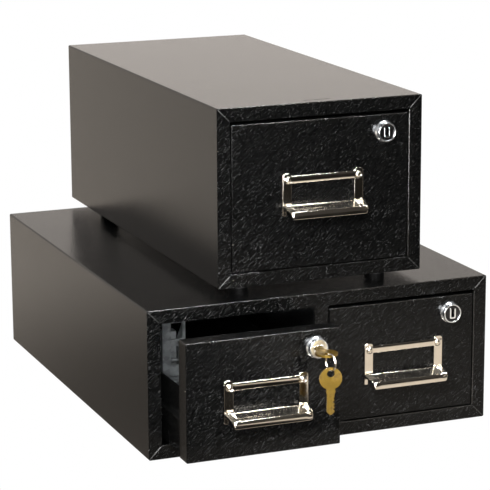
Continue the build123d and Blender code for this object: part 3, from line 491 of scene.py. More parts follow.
def stretch(x=1.0, y=1.0, z=1.0):
    """Scale what is selected about the bench's middle."""
    bpy.ops.transform.resize(value=(x, y, z), center_override=(0, 0, 0))


def face_outwards():
    """Turn every face of the open piece to its outside and leave edit mode."""
    bpy.ops.mesh.select_all(action="SELECT")
    bpy.ops.mesh.normals_make_consistent(inside=False)
    bpy.ops.object.mode_set(mode="OBJECT")


def modify(piece, kind, **settings):
    """Add a modifier to a piece and apply it."""
    only(piece)
    modifier = piece.modifiers.new(kind.lower(), kind)
    for key, value in settings.items():
        setattr(modifier, key, value)
    bpy.ops.object.modifier_apply(modifier=modifier.name)


def round_edges(piece, width, segments=3, angle=35.0, clamp=True):
    """Round the sharp edges of a finished shape and shade it smooth."""
    only(piece)
    bpy.ops.object.shade_smooth_by_angle(angle=math.radians(angle))
    modify(
        piece,
        "BEVEL",
        width=width * MM,
        segments=segments,
        limit_method="ANGLE",
        angle_limit=math.radians(angle),
        miter_outer="MITER_ARC",
        harden_normals=True,
        use_clamp_overlap=clamp,
    )


def join(*pieces):
    """Join pieces into the first one; a piece alone stays as it is."""
    only(pieces[0])
    for piece in pieces:
        piece.select_set(True)
    if len(pieces) > 1:
        bpy.ops.object.join()
    return pieces[0]


def carried(piece, name, place):
    """A copy of a piece with its own mesh, carried to a place given in metres."""
    only(piece)
    bpy.ops.object.duplicate()
    made = bpy.context.object
    made.name = name
    made.location = place
    settle(made)
    return made


def drop(piece):
    """Remove a pattern piece once its copies are made."""
    bpy.data.objects.remove(piece, do_unlink=True)


# %% [markdown]
# ## Label pulls
# Each drawer has one pressed nickel holder that is both the label frame and the finger pull. Its
# upper bar bulges forward between the two riveted corners, its posts are flat with rolled edges,
# and below the window the sheet turns out into a sloping ledge with a sunk floor and a lip that
# hangs down in front. A gusset on each side ties the ledge to its post. Only a narrow leg of each
# post goes on below the ledge, with a foot that rests on the drawer front, and a rounded ear
# stands up above each rivet. A block with holes cut by Booleans would give hard, doubtful edges,
# so the plate starts as a plane that is cut into window, posts and bar, the bar's cuts are pushed
# forward, and Solidify gives it the thickness of the sheet. One pull is made and copied.

# %% Pull plate with its window and bulging bar
PULL_HALF = 37.5
PULL_HEIGHT = 34.3
PULL_FACE = -2.2
PULL_SHEET = 1.2
WINDOW_HALF = 29.5
WINDOW_LOW = 8.6
WINDOW_TOP = 28.0
LEG_INNER = 34.3
BAR_FLAT = 28.4
WINDOW_BAND = 0.8
# Heights on the upper bar, and how far forward each one stands.
BAR_BULGE = ((28.8, 0.15), (29.8, 0.28), (31.1, 0.33), (32.4, 0.28), (33.5, 0.15))
PLATE_CORNER = 1.4
ROLLED_EDGE = 0.58

add_plane = bpy.ops.mesh.primitive_plane_add
plate = start("pull_plate", add_plane, size=MM, rotation=(math.pi / 2, 0, 0))
bpy.ops.mesh.select_all(action="SELECT")
stretch(2 * PULL_HALF, 1, PULL_HEIGHT)
shift(y=PULL_FACE, z=PULL_HEIGHT / 2)
cut("x", -LEG_INNER, -WINDOW_HALF, -BAR_FLAT, BAR_FLAT, WINDOW_HALF, LEG_INNER)
cut("z", WINDOW_LOW, WINDOW_LOW + WINDOW_BAND, WINDOW_TOP - WINDOW_BAND, WINDOW_TOP)
cut("z", *[height for height, _ in BAR_BULGE])
pick(plate, "FACE", lambda middle, _: abs(middle.x) < WINDOW_HALF and middle.z < WINDOW_TOP)
bpy.ops.mesh.delete(type="FACE")
pick(plate, "FACE", lambda middle, _: abs(middle.x) < LEG_INNER and middle.z < WINDOW_LOW)
bpy.ops.mesh.delete(type="FACE")
for height, bulge in BAR_BULGE:
    pick(
        plate,
        "VERT",
        lambda middle, _: abs(middle.z - height) < 0.01 and abs(middle.x) < WINDOW_HALF + 0.1,
    )
    shift(y=-bulge)
pick(
    plate,
    "VERT",
    lambda middle, _: abs(middle.x) > PULL_HALF - 0.1
    and abs(middle.z - PULL_HEIGHT / 2) > PULL_HEIGHT / 2 - 0.1,
)
bpy.ops.mesh.bevel(offset=PLATE_CORNER * MM, segments=4, affect="VERTICES")
bpy.ops.object.mode_set(mode="OBJECT")
modify(plate, "SOLIDIFY", thickness=PULL_SHEET * MM, offset=-1.0)
round_edges(plate, ROLLED_EDGE, segments=4, angle=50.0)
print("plate faces", len(plate.data.polygons))

# %% A strip of sheet to start from


def strip(name, width, depth, height, place):
    """A strip of sheet, open in edit mode, with its middle at a place in millimetres."""
    made = start(name, bpy.ops.mesh.primitive_cube_add, size=MM)
    bpy.ops.mesh.select_all(action="SELECT")
    stretch(width, depth, height)
    shift(*place)
    return made


# %% Bosses round the rivets
BOSS_PLACE = (32.7, 30.8)
BOSS_RADIUS = 3.5
BOSS_HEIGHT = 1.2
BOSS_RIM = 0.9
BOSS_SINK = 0.3

boss = start(
    "pull_boss",
    bpy.ops.mesh.primitive_cylinder_add,
    vertices=32,
    radius=BOSS_RADIUS * MM,
    depth=BOSS_HEIGHT * MM,
    rotation=(math.pi / 2, 0, 0),
)
pick(boss, "FACE", lambda middle, _: middle.y < -0.5)
bpy.ops.mesh.inset(thickness=BOSS_RIM * MM)
shift(y=BOSS_SINK)
bpy.ops.object.mode_set(mode="OBJECT")
round_edges(boss, 0.25)
boss_y = PULL_FACE + BOSS_SINK
bosses = [
    carried(boss, "boss", (side * BOSS_PLACE[0] * MM, boss_y * MM, BOSS_PLACE[1] * MM))
    for side in (-1, 1)
]
print("boss faces", len(boss.data.polygons))
drop(boss)

# %% Ears, feet and gussets
EAR_WIDTH = 8.0
EAR_HEIGHT = 2.6
EAR_OVERLAP = 2.0
EAR_CORNER = 2.5
FOOT_WIDTH = 3.2
FOOT_REACH = 1.6
GUSSET_SHEET = 1.1
# The strip's corners, by their signs along y and z, and the places that they are moved to.
GUSSET_CORNERS = {
    (1, -1): (36.5, -1.7, 7.3),
    (1, 1): (36.5, -1.7, 10.0),
    (-1, -1): (34.2, -16.5, 4.1),
    (-1, 1): (34.2, -16.5, 5.8),
}

ear_x = -PULL_HALF + EAR_WIDTH / 2
ear_y = PULL_FACE + PULL_SHEET / 2
ear_z = PULL_HEIGHT + EAR_HEIGHT / 2 - EAR_OVERLAP / 2
ear = strip("pull_ear", EAR_WIDTH, PULL_SHEET, EAR_HEIGHT + EAR_OVERLAP, (ear_x, ear_y, ear_z))
pick(
    ear,
    "EDGE",
    lambda middle, points: middle.z > PULL_HEIGHT + EAR_HEIGHT - 0.01
    and abs(points[0].x - points[1].x) < 0.01,
)
bpy.ops.mesh.bevel(offset=EAR_CORNER * MM, segments=6)
bpy.ops.object.mode_set(mode="OBJECT")
round_edges(ear, 0.5)
foot_place = (-PULL_HALF + FOOT_WIDTH / 2, -FOOT_REACH / 2, PULL_SHEET / 2)
foot = strip("pull_foot", FOOT_WIDTH, FOOT_REACH, PULL_SHEET, foot_place)
bpy.ops.object.mode_set(mode="OBJECT")
round_edges(foot, 0.3)
gusset = strip("pull_gusset", GUSSET_SHEET, 2.0, 2.0, (0, 0, 0))
for (back, level), corner in GUSSET_CORNERS.items():
    pick(
        gusset,
        "VERT",
        lambda middle, _: abs(middle.y - back) < 0.05 and abs(middle.z - level) < 0.05,
    )
    shift(corner[0], corner[1] - back, corner[2] - level)
face_outwards()
round_edges(gusset, 0.3, angle=30.0)
join(ear, foot, gusset)
other_ear = carried(ear, "other_ear", (0, 0, 0))
other_ear.scale.x = -1
settle(other_ear)
bpy.ops.object.mode_set(mode="EDIT")
face_outwards()
print("ear faces", len(ear.data.polygons))

# %% Sloping ledge with its sunk floor
LEDGE_BACK = (37.1, -1.7, 8.6)
LEDGE_TIP = (34.8, -17.0, 5.4)
RIM_WIDTH = 1.9
FLOOR_CORNER = 2.2
FLOOR_WALL = 0.5
FLOOR_SINK = 0.9
LIP_FLAT = 29.5


def on_ledge_side(point):
    """True for a point on the ledge's left or right edge, which run together towards the tip."""
    share = (point.y - LEDGE_TIP[1]) / (LEDGE_BACK[1] - LEDGE_TIP[1])
    half = LEDGE_TIP[0] + share * (LEDGE_BACK[0] - LEDGE_TIP[0])
    return abs(abs(point.x) - half) < 0.05


def at_tip(point):
    """True for a point as far forward as the ledge's front edge."""
    return point.y < LEDGE_TIP[1] + 0.05


ledge = start("pull_ledge", add_plane, size=2 * MM)
for sign, corner in ((-1, LEDGE_TIP), (1, LEDGE_BACK)):
    pick(ledge, "VERT", lambda middle, _: middle.y * sign > 0.5)
    stretch(x=corner[0])
    shift(y=corner[1] - sign, z=corner[2])
pick(ledge, "FACE", lambda middle, _: True)
bpy.ops.mesh.inset(thickness=RIM_WIDTH * MM, use_even_offset=True)
bpy.ops.mesh.bevel(offset=FLOOR_CORNER * MM, segments=3, affect="VERTICES")
pick(ledge, "FACE", lambda middle, points: len(points) > 6 and abs(middle.x) < 1)
bpy.ops.mesh.inset(thickness=FLOOR_WALL * MM)
shift(z=-FLOOR_SINK)
cut("x", -LIP_FLAT, LIP_FLAT)
print("ledge faces before its folds", len(bmesh.from_edit_mesh(ledge.data).faces))

# %% Skirt and lip of the ledge
SKIRT = 1.3
LIP_LOW = -0.4
LIP_OUTER = 33.5
LEDGE_CORNER = 1.6
LEDGE_SHEET = 1.0

pick(
    ledge,
    "EDGE",
    lambda _, points: all(on_ledge_side(p) for p in points) or all(at_tip(p) for p in points),
)
bpy.ops.mesh.extrude_edges_move(TRANSFORM_OT_translate={"value": (0, 0, -SKIRT * MM)})
pick(
    ledge, "EDGE", lambda _, points: all(at_tip(p) and p.z < LEDGE_TIP[2] - 1.0 for p in points)
)
lip_fall = LIP_LOW - LEDGE_TIP[2] + SKIRT
bpy.ops.mesh.extrude_edges_move(TRANSFORM_OT_translate={"value": (0, 0, lip_fall * MM)})
pick(
    ledge,
    "EDGE",
    lambda middle, points: all(at_tip(p) and on_ledge_side(p) for p in points)
    and middle.z > LEDGE_TIP[2] - SKIRT,
)
bpy.ops.mesh.bevel(offset=LEDGE_CORNER * MM, segments=3)
pick(ledge, "VERT", lambda middle, _: middle.z < LIP_LOW + 0.05 and abs(middle.x) > LIP_OUTER)
bpy.ops.mesh.bevel(offset=LEDGE_CORNER * MM, segments=2, affect="VERTICES")
face_outwards()
modify(ledge, "SOLIDIFY", thickness=LEDGE_SHEET * MM, offset=-1.0)
round_edges(ledge, 0.4, segments=4, angle=50.0, clamp=False)
print("ledge faces", len(ledge.data.polygons))

# %% One pull on each drawer
pull_pattern = join(plate, *bosses, ear, other_ear, ledge)
for side in DRAWERS:
    low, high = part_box(f"{side}_label_pull")
    place = ((low.x + high.x) / 2, high.y, high.z - (PULL_HEIGHT + EAR_HEIGHT) * MM)
    pull = carried(pull_pattern, f"{side}_pull", place)
    finish(pull, nickel)
    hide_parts(f"{side}_label_pull")
    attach(pull, f"{side}_drawer")
    print(pull.name, "faces", len(pull.data.polygons))
drop(pull_pattern)

# %% [markdown]
# ## Locks
# A cam lock shows a chromed head with a steep bevel, a narrow bright ring at its face, and a dark
# plug in the middle. Round the keyway stands a small bright guard bent like a U, open at the top
# when the key can be pulled out. Spin could turn the head from a profile. Here it is made from
# one cylinder instead, because each step is then one number: every extrusion is pushed forward
# and drawn in, as a lathe would step down the bar, and the bore is bridged to the back.

# %% Lock heads with their barrels
HEAD_RADIUS = 9.5
FACE_RADIUS = 8.2
BARREL_RADIUS = 8.0
HEAD_REACH = 6.5
# How far forward each step of the head ends, and its radius there.
HEAD_STEPS = ((1.2, 9.5), (2.1, 8.9), (2.9, 8.2), (HEAD_REACH, FACE_RADIUS))
BORE_RADIUS = 5.76
RING_WIDTH = 0.9
FACE_SINK = 0.8
FACE_TAPER = 0.97


def push_out(forward, factor):
    """Extrude the selected faces forward and scale them about the turning axis."""
    bpy.ops.mesh.extrude_region_move(TRANSFORM_OT_translate={"value": (0, -forward * MM, 0)})
    stretch(factor, 1, factor)


low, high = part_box("left_lock_body")
barrel = (high.y - low.y) / MM - HEAD_REACH
head = start(
    "lock_pattern",
    bpy.ops.mesh.primitive_cylinder_add,
    vertices=64,
    radius=BARREL_RADIUS * MM,
    depth=barrel * MM,
    location=(0, barrel / 2 * MM, 0),
    rotation=(math.pi / 2, 0, 0),
)
pick(head, "FACE", lambda middle, _: middle.y < 0.01)
push_out(0.0, HEAD_RADIUS / BARREL_RADIUS)
reach, radius = 0.0, HEAD_RADIUS
for next_reach, next_radius in HEAD_STEPS:
    push_out(next_reach - reach, next_radius / radius)
    reach, radius = next_reach, next_radius
bpy.ops.mesh.inset(thickness=RING_WIDTH * MM)
push_out(-FACE_SINK, FACE_TAPER)
bpy.ops.mesh.inset(thickness=((FACE_RADIUS - RING_WIDTH) * FACE_TAPER - BORE_RADIUS) * MM)
bpy.ops.mesh.delete(type="FACE")
pick(head, "FACE", lambda middle, points: middle.y > barrel - 0.1 and len(points) > 8)
bpy.ops.mesh.inset(thickness=(BARREL_RADIUS - BORE_RADIUS) * MM)
bpy.ops.mesh.delete(type="FACE")
pick(
    head,
    "EDGE",
    lambda _, points: all(abs(math.hypot(p.x, p.z) - BORE_RADIUS) < 0.02 for p in points)
    and abs(points[0].y - points[1].y) < 0.01,
)
bpy.ops.mesh.bridge_edge_loops()
face_outwards()
round_edges(head, 0.22, angle=20.0)
print("head faces", len(head.data.polygons))

# %% Bright guard round the keyway
GUARD_HALF = (2.9, 4.5)
SLOT_HALF = 1.5
SLOT_LOW = -3.1
GUARD_CORNER = 2.0
GUARD_SHEET = 0.6

guard = start("guard_pattern", add_plane, size=2 * MM, rotation=(math.pi / 2, 0, 0))
bpy.ops.mesh.select_all(action="SELECT")
stretch(GUARD_HALF[0], 1, GUARD_HALF[1])
cut("x", -SLOT_HALF, SLOT_HALF)
cut("z", SLOT_LOW)
pick(guard, "FACE", lambda middle, _: abs(middle.x) < SLOT_HALF and middle.z > SLOT_LOW)
bpy.ops.mesh.delete(type="FACE")
pick(
    guard,
    "VERT",
    lambda middle, _: abs(middle.x) > GUARD_HALF[0] - 0.1 and middle.z < 0.1 - GUARD_HALF[1],
)
bpy.ops.mesh.bevel(offset=GUARD_CORNER * MM, segments=5, affect="VERTICES")
bpy.ops.object.mode_set(mode="OBJECT")
modify(guard, "SOLIDIFY", thickness=GUARD_SHEET * MM, offset=-1.0)
round_edges(guard, 0.18)
print("guard faces", len(guard.data.polygons))

# %% Face inside the ring
WASHER_MIDDLE = 6.5
WASHER_WIDTH = 0.75
WASHER_FLATNESS = 0.35
WASHER_SINK = 0.75

washer_pattern = start(
    "face_pattern",
    bpy.ops.mesh.primitive_torus_add,
    major_segments=64,
    minor_segments=16,
    major_radius=WASHER_MIDDLE * MM,
    minor_radius=WASHER_WIDTH * MM,
    rotation=(math.pi / 2, 0, 0),
)
bpy.ops.mesh.select_all(action="SELECT")
stretch(1, WASHER_FLATNESS, 1)
bpy.ops.object.mode_set(mode="OBJECT")
bpy.ops.object.shade_smooth()
print("washer faces", len(washer_pattern.data.polygons))

# %% Put a head, a face and a guard on each lock
GUARD_RISE = 0.35
LEFT_GUARD_TURN = math.radians(90)

# The left lock's plug and face ring are painted pale as a highlight; the other two keep the dark
# plate.
plug_faces = {"left": painted_highlight_plug, "right": dark_plate, "upper": dark_plate}
for side in DRAWERS:
    low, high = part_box(f"{side}_lock_body")
    axis_x = (low.x + high.x) / 2
    axis_z = (low.z + high.z) / 2
    lock = carried(head, f"{side}_lock_head", (axis_x, low.y + HEAD_REACH * MM, axis_z))
    finish(lock, satin_chrome)
    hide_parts(f"{side}_lock_body")
    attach(lock, f"{side}_drawer")
    washer_place = (axis_x, low.y + WASHER_SINK * MM, axis_z)
    washer = carried(washer_pattern, f"{side}_lock_face", washer_place)
    finish(washer, plug_faces[side])
    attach(washer, f"{side}_drawer")
    plug_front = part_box(f"{side}_lock_plug")[0].y
    keyway_guard = carried(guard, f"{side}_key_guard", (0, 0, 0))
    if side == "left":
        keyway_guard.rotation_euler = (0, LEFT_GUARD_TURN, 0)
        settle(keyway_guard)
    keyway_guard.location = (axis_x, plug_front - GUARD_RISE * MM, axis_z)
    settle(keyway_guard)
    finish(keyway_guard, chrome)
    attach(keyway_guard, f"{side}_lock_plug")
    finish(nodes[f"{side}_lock_plug"], plug_faces[side])
drop(head)
drop(guard)
drop(washer_pattern)

# %% [markdown]
# ## Keys and ring
# Both keys are stamped from brass strip 1.8 mm thick: a round bow with a hole for the ring, two
# shoulders that flare under the bow, and a blade with four cuts and a milled groove. One key is
# drawn hanging down from its bow's centre: the blade is a strip cut at a few heights, and each
# height is drawn in to its own width. Here Booleans are the right tool, because a real key is
# also stamped and milled: they join the blade to the bow and take out the hole and the grooves.
# The split ring is almost two turns of round wire, wound by the Screw modifier. A torus would be
# quicker, but it has no ends and no gap between its turns.

# %% Key pattern
KEY_THICKNESS = 1.8
BOW_RADIUS = 9.5
HOLE_RADIUS = 3.2
HOLE_RISE = 4.3
BLADE_HALF = 3.1
# Heights under the bow's centre, and half of the key's width at each.
KEY_WIDTHS = (
    (-5.0, 3.6),
    (-8.4, 3.5),
    (-10.2, 3.6),
    (-11.6, 4.0),
    (-12.6, 3.3),
    (-14.7, BLADE_HALF),
    (-28.8, BLADE_HALF),
    (-31.2, 0.5),
)
# Heights of the cuts' middles, and how deep each one is.
KEY_CUTS = ((-17.2, 0.9), (-20.3, 1.7), (-23.4, 0.8), (-26.3, 1.3))
CUT_HALF = 1.1
GROOVE_WIDTH = 1.5
GROOVE_DEPTH = 0.45
GROOVE_LENGTH = 17.5
GROOVE_PLACE = (0.7, -22.0)


def round_bar(name, radius, depth, place, vertices=48):
    """A short cylinder that lies along y, with its middle at a place in millimetres."""
    bpy.ops.object.select_all(action="DESELECT")
    bpy.ops.mesh.primitive_cylinder_add(
        vertices=vertices,
        radius=radius * MM,
        depth=depth * MM,
        location=tuple(value * MM for value in place),
        rotation=(math.pi / 2, 0, 0),
    )
    made = bpy.context.object
    made.name = name
    settle(made)
    return made


def combine(piece, other, operation):
    """Add or take away another solid, which is used up."""
    modify(piece, "BOOLEAN", object=other, operation=operation, solver="EXACT")
    drop(other)


top, bottom = KEY_WIDTHS[0][0], KEY_WIDTHS[-1][0]
key = strip("key_pattern", 2.0, KEY_THICKNESS, top - bottom, (0, 0, (top + bottom) / 2))
cut("z", *[level for level, _ in KEY_WIDTHS[1:-1]])
for level, _ in KEY_CUTS:
    cut("z", level - CUT_HALF, level, level + CUT_HALF)
widths = list(KEY_WIDTHS)
widths += [
    (level + part * CUT_HALF, BLADE_HALF) for level, _ in KEY_CUTS for part in (-1, 0, 1)
]
for level, half in widths:
    pick(key, "VERT", lambda middle, _: abs(middle.z - level) < 0.02)
    stretch(x=half)
for level, depth in KEY_CUTS:
    pick(key, "VERT", lambda middle, _: abs(middle.z - level) < 0.02 and middle.x > 0)
    shift(x=-depth)
bpy.ops.object.mode_set(mode="OBJECT")
combine(key, round_bar("bow", BOW_RADIUS, KEY_THICKNESS, (0, 0, 0), 96), "UNION")
combine(key, round_bar("hole", HOLE_RADIUS, 4.0, (0, 0, HOLE_RISE)), "DIFFERENCE")
for face in (-1, 1):
    place = (-GROOVE_PLACE[0] * face, face * KEY_THICKNESS / 2, GROOVE_PLACE[1])
    groove = strip("groove", GROOVE_WIDTH, 2 * GROOVE_DEPTH, GROOVE_LENGTH, place)
    bpy.ops.object.mode_set(mode="OBJECT")
    combine(key, groove, "DIFFERENCE")
round_edges(key, 0.22, angle=30.0)
print("key faces", len(key.data.polygons))

# %% The key in the lock and the spare key
SPARE_TURN = 12.0


def box_middle(node):
    """The middle of a node's box, in metres."""
    low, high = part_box(node)
    return (low + high) / 2


def turned(piece, name, *turns):
    """A copy of a pattern, turned about the x, y or z axis by each number of degrees in turn."""
    made = carried(piece, name, (0, 0, 0))
    for axis, degrees in turns:
        angles = [0.0, 0.0, 0.0]
        angles["xyz".index(axis)] = math.radians(degrees)
        made.rotation_euler = angles
        settle(made)
    return made


def carry(piece, place):
    """Carry a piece itself to a place given in metres."""
    piece.location = place
    settle(piece)


lock_low, lock_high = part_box("lock_key")
lock_key = turned(key, "key_in_lock", ("z", 180), ("x", 90))
bow_y = lock_low.y + BOW_RADIUS * MM
carry(lock_key, ((lock_low.x + lock_high.x) / 2, bow_y, (lock_low.z + lock_high.z) / 2))
spare_middle = box_middle("spare_key")
spare_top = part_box("spare_key")[1].z
spare_key = turned(key, "key_on_ring", ("z", -SPARE_TURN))
carry(spare_key, (spare_middle.x, spare_middle.y, spare_top - BOW_RADIUS * MM))
for made, node in ((lock_key, "lock_key"), (spare_key, "spare_key")):
    finish(made, key_brass)
    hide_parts(node)
    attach(made, node)
    print(made.name, "at", tuple(round(value, 4) for value in box_middle(node)))
drop(key)

# %% Split ring
RING_RADIUS = 7.0
RING_WIRE = 0.37
RING_PITCH = 0.86
RING_COIL = 700.0
RING_TURN = 8.0

wire = start(
    "split_ring",
    bpy.ops.mesh.primitive_circle_add,
    vertices=12,
    radius=RING_WIRE * MM,
    location=(RING_RADIUS * MM, 0, 0),
    rotation=(math.pi / 2, 0, 0),
)
bpy.ops.object.mode_set(mode="OBJECT")
modify(
    wire,
    "SCREW",
    axis="Z",
    angle=math.radians(RING_COIL),
    screw_offset=RING_PITCH * RING_COIL / 360 * MM,
    steps=120,
    render_steps=120,
)
bpy.ops.object.mode_set(mode="EDIT")
bpy.ops.mesh.select_all(action="SELECT")
bpy.ops.mesh.fill_holes(sides=0)
bpy.ops.mesh.normals_make_consistent(inside=False)
heights = [point.co.z for point in bmesh.from_edit_mesh(wire.data).verts]
shift(z=-(min(heights) + max(heights)) / 2 / MM)
bpy.ops.object.mode_set(mode="OBJECT")
bpy.ops.object.shade_smooth_by_angle(angle=SMOOTH_ANGLE)
ring = turned(wire, "key_split_ring", ("y", 90), ("z", RING_TURN))
carry(ring, box_middle("key_ring"))
finish(ring, nickel)
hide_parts("key_ring")
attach(ring, "key_ring")
drop(wire)
print("ring faces", len(ring.data.polygons), "thick", round((max(heights) - min(heights)) / MM, 2))

# %% [markdown]
# ## Mitre seams
# Each front frame is made from the wrapper's four folded flanges, which meet at 45 degrees in the
# corners and are spot-welded there. The enamel fills the joint and leaves a fine raised line.
# A line in the bump could draw it, but it would be lost wherever the model is seen without its
# finishes. So a thin bar with rounded ends lies half sunk in the frame along each joint. The bar
# is painted a lighter grey than the enamel, as a painted highlight along the raised line.

# %% Seams in the corners of both frames
FRAME_WIDTH = 12.0
SEAM_RADIUS = 0.38
SEAM_INSET = 1.0
SEAM_END = 0.12
SEAM_SINK = 0.06

reach = (FRAME_WIDTH - 2 * SEAM_INSET) * math.sqrt(2)
for cabinet in CABINETS:
    low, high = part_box(f"{cabinet}_casing")
    half_frame = FRAME_WIDTH / 2 * MM
    seams = []
    for x, side in ((low.x + half_frame, 1), (high.x - half_frame, -1)):
        for z, level in ((low.z + half_frame, 1), (high.z - half_frame, -1)):
            bar = start(
                "seam",
                bpy.ops.mesh.primitive_cylinder_add,
                vertices=16,
                radius=SEAM_RADIUS * MM,
                depth=reach * MM,
            )
            bpy.ops.mesh.select_all(action="SELECT")
            bpy.ops.mesh.bevel(offset=SEAM_END * MM, segments=2)
            bpy.ops.object.mode_set(mode="OBJECT")
            bar.rotation_euler = (0, math.radians(45 * side * level), 0)
            settle(bar)
            carry(bar, (x, low.y + SEAM_SINK * MM, z))
            seams.append(bar)
    seam = join(*seams)
    seam.name = f"{cabinet}_mitre_seams"
    bpy.ops.object.shade_smooth_by_angle(angle=SMOOTH_ANGLE)
    # The seam is painted lighter than the enamel, as a painted highlight.
    finish(seam, painted_seam_highlight)
    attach(seam, f"{cabinet}_cabinet")
    print(seam.name, "faces", len(seam.data.polygons))

# %% [markdown]
# ## Folded edges of the frames and fronts
# The coating builds up into a glossy bead on the outer top fold of each frame, on the lower and
# right folds of its opening and on the top fold of each drawer front, and this bead catches the
# light as a fine line. The folds belong to the construction model, whose meshes stay untouched,
# so a bar lies along each fold and stands out by a fifth of a millimetre.

# %% Beads on the folds
BEAD_RADIUS = 0.45
BEAD_SINK = 0.25
FOLD_ROUND = 0.35
ROOF_MARGIN = 2.0
OPENING_MARGIN = 0.5
FRONT_MARGIN = 1.2


def lay_beads(name, face, runs, body):
    """Beads in the plane y = face, along runs from one (x, z) to another in millimetres."""
    beads = []
    for first, second in runs:
        run = Vector((second[0] - first[0], 0, second[1] - first[1]))
        bead = start(
            "bead",
            bpy.ops.mesh.primitive_cylinder_add,
            vertices=20,
            radius=BEAD_RADIUS * MM,
            depth=run.length * MM,
            rotation=(0, math.pi / 2 if run.x else 0, 0),
        )
        bpy.ops.object.mode_set(mode="OBJECT")
        middle = (first[0] + run.x / 2, face + BEAD_SINK, first[1] + run.z / 2)
        carry(bead, tuple(value * MM for value in middle))
        beads.append(bead)
    bead = join(*beads)
    bead.name = name
    bpy.ops.object.shade_smooth_by_angle(angle=SMOOTH_ANGLE)
    finish(bead, fold_enamel)
    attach(bead, body)
    print(bead.name, "faces", len(bead.data.polygons))


for cabinet in CABINETS:
    low, high = (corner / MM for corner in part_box(f"{cabinet}_casing"))
    left, right = low.x + FRAME_WIDTH, high.x - FRAME_WIDTH
    sill, head = low.z + FRAME_WIDTH - FOLD_ROUND, high.z - FRAME_WIDTH
    post = right + FOLD_ROUND
    top = high.z - BEAD_RADIUS
    frame_runs = (
        ((low.x + ROOF_MARGIN, top), (high.x - ROOF_MARGIN, top)),
        ((left + OPENING_MARGIN, sill), (right - OPENING_MARGIN, sill)),
        ((post, sill + 2 * OPENING_MARGIN), (post, head - OPENING_MARGIN)),
    )
    lay_beads(f"{cabinet}_fold_beads", low.y, frame_runs, f"{cabinet}_cabinet")
for side in DRAWERS:
    low, high = (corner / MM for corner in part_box(f"{side}_drawer_front"))
    top = high.z - BEAD_RADIUS
    front_runs = (((low.x + FRONT_MARGIN, top), (high.x - FRONT_MARGIN, top)),)
    lay_beads(f"{side}_fold_bead", low.y, front_runs, f"{side}_drawer")

# %% [markdown]
# ## Studio
# The object stands on a pale floor that runs out of the picture to plain white. A photographer
# lights such a floor until it burns out, but lamps that strong would also grey the black enamel.
# So Light Path tells the rays apart: the camera sees plain white, reflections see tones that are
# made for them, and all other light meets matt paint. In reflections the floor carries a painted
# shadow of the stack, dark close to its left side, and is warm white farther out, with two nearly
# black patches in front, and the room is bright only low down behind the stack. Those contrasts
# give the enamel its dark depth and the polished parts their stripes.

# %% A shader that is white to the camera
def seen_white(paint, other, mirrored):
    """White for the camera, a tone of its own for reflections, the other shader for the rest."""
    path = paint.node("ShaderNodeLightPath", output="Is Camera Ray")
    glossy = paint.node("ShaderNodeLightPath", output="Is Glossy Ray")
    clear = paint.node("ShaderNodeLightPath", output="Is Transmission Ray")
    tint = paint.mix(path, mirrored, colour(1, 1, 1))
    white = paint.node("ShaderNodeEmission", None, {"Color": tint, "Strength": 1.0})
    seen = path.math("MAXIMUM", path, path.math("MAXIMUM", glossy, clear))
    return paint.node("ShaderNodeMixShader", None, {0: seen, 1: other, 2: white})


# %% Pale floor
FLOOR_SIZE = 12.0
FLOOR_DROP = 0.0002
# The painted shadow of the stack that reflections see on the floor: its middle, half widths and
# tone.
SHADOW_MIDDLE = (-0.32, -0.04)
SHADOW_HALF = (0.34, 0.42)
PAINTED_SHADOW_TONE = colour(0.27, 0.235, 0.20)
WARM_TONE = colour(1.03, 0.92, 0.80)
DARK_TONE = colour(0.015, 0.013, 0.011)
# The dark patches' soft borders: each patch is absent at the first number and full at the second.
NEAR_FRONT, NEAR_LEFT, NEAR_RIGHT = (-0.30, -0.32), (-0.32, -0.24), (0.065, 0.045)
FAR_FRONT, FAR_LEFT = (-0.58, -0.68), (0.10, 0.20)

bpy.ops.object.select_all(action="DESELECT")
bpy.ops.mesh.primitive_plane_add(size=FLOOR_SIZE, location=(0, 0, -FLOOR_DROP))
floor = bpy.context.object
floor.name = "floor"

floor_paint = new_paint("pale_floor")
matt = floor_paint.node("ShaderNodeBsdfDiffuse", None, {"Color": colour(0.86, 0.85, 0.83)})
squeeze = (1 / SHADOW_HALF[0], 1 / SHADOW_HALF[1], 0)
offset = (-SHADOW_MIDDLE[0] / SHADOW_HALF[0], -SHADOW_MIDDLE[1] / SHADOW_HALF[1], 0)
from_shadow = floor_paint.node(
    "ShaderNodeVectorMath",
    {"operation": "MULTIPLY_ADD"},
    {0: floor_paint.place(), 1: squeeze, 2: offset},
)
reach = floor_paint.node("ShaderNodeVectorMath", {"operation": "LENGTH"}, {0: from_shadow}, "Value")
# Painted shadow: in reflections the floor is darker near the stack's left side.
floor_tone = floor_paint.mix(floor_paint.step(reach, low=0.3, high=1.5), PAINTED_SHADOW_TONE, WARM_TONE)
across = floor_paint.along(floor_paint.place(), "X")
deep = floor_paint.along(floor_paint.place(), "Y")
near_patch = floor_paint.step(across, *NEAR_RIGHT) * floor_paint.step(deep, *NEAR_FRONT)
near_patch = near_patch * floor_paint.step(across, *NEAR_LEFT)
far_patch = floor_paint.step(deep, *FAR_FRONT) * floor_paint.step(across, *FAR_LEFT)
dark = near_patch.math("MAXIMUM", near_patch, far_patch)
mirrored_floor = floor_paint.mix(dark, floor_tone, DARK_TONE)
shaded_floor = seen_white(floor_paint, matt, mirrored_floor)
floor_paint.node("ShaderNodeOutputMaterial", None, {"Surface": shaded_floor})
finish(floor, floor_paint.holder)
print("floor", FLOOR_SIZE, "m wide")

# %% Room round the floor
BRIGHT_WALL = colour(1.0, 0.92, 0.85)
DARK_ROOM = colour(0.06, 0.055, 0.05)
SOFT_LIGHT = colour(0.34, 0.34, 0.35)
# The soft borders of the bright wall, as shares of a direction backward and upward.
WALL_BACK, WALL_TOP = (-0.25, 0.15), (0.35, 0.75)

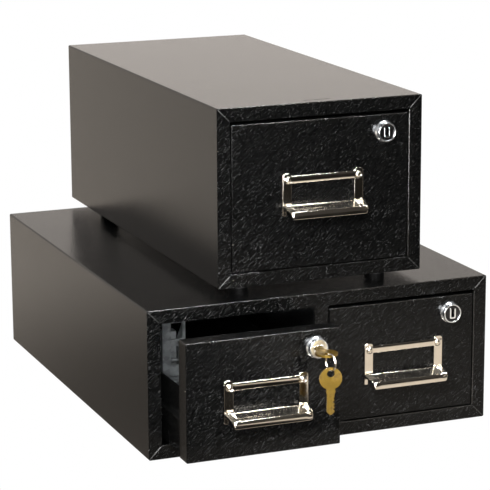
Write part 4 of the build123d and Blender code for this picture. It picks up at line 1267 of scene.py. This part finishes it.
world = bpy.data.worlds.new("studio")
bpy.context.scene.world = world
air = Paint(world)
where = air.node("ShaderNodeTexCoord", output="Generated")
wall = air.step(air.along(where, "Y"), *WALL_BACK)
wall = wall * (1.0 - air.step(air.along(where, "Z"), *WALL_TOP))
reflected = air.mix(wall, DARK_ROOM, BRIGHT_WALL)
to_camera = air.node("ShaderNodeLightPath", output="Is Camera Ray")
to_gloss = air.node("ShaderNodeLightPath", output="Is Glossy Ray")
unseen = air.mix(to_gloss, SOFT_LIGHT, reflected)
seen_air = air.mix(to_camera, unseen, colour(1, 1, 1))
sky = air.node("ShaderNodeBackground", None, {"Color": seen_air, "Strength": 1.0})
air.node("ShaderNodeOutputWorld", None, {"Surface": sky})
print("room", world.name)

# %% [markdown]
# ## Lamps
# Three soft lamps light the paint: one from the left front, a weak one from the camera's side and
# a wide one overhead. Three more only show in reflections, so they draw the sparkle of the grain
# and the bright line on the upper edges and leave the paint as it is.

# %% Lamps
AIM = Vector((0.0, -0.1, 0.12))
# Each lamp's name, place, width and watts, and whether it lights the paint as well.
LAMPS = (
    ("key", (-0.42, -0.80, 0.62), 0.14, 5.5, True),
    ("fill", (-0.66, -1.78, 0.62), 0.3, 5.0, True),
    ("overhead", (0.1, 0.2, 1.7), 1.4, 10.0, True),
    ("edge", (0.42, -0.47, 1.57), 0.4, 40.0, False),
    ("spark", (-0.28, -0.60, 0.42), 0.36, 18.0, False),
    ("low_spark", (-0.16, -0.78, 0.22), 0.28, 8.5, False),
)


def add_lamp(name, place, size, power, lights_paint):
    """A round soft lamp that looks at the stack and that the camera doesn't see."""
    data = bpy.data.lights.new(name, "AREA")
    data.shape = "DISK"
    data.size = size
    data.energy = power
    made = bpy.data.objects.new(name, data)
    bpy.context.scene.collection.objects.link(made)
    made.location = place
    made.rotation_mode = "QUATERNION"
    made.rotation_quaternion = (AIM - Vector(place)).to_track_quat("-Z", "Y")
    made.visible_camera = False
    made.visible_diffuse = lights_paint


for lamp in LAMPS:
    add_lamp(*lamp)
print("lamps", [light.name for light in bpy.data.lights])

# %% [markdown]
# ## Closing
# The view is set to Standard, so that the plain white of the floor comes out as plain white.

# %% Close the scene
bpy.context.scene.view_settings.view_transform = "Standard"
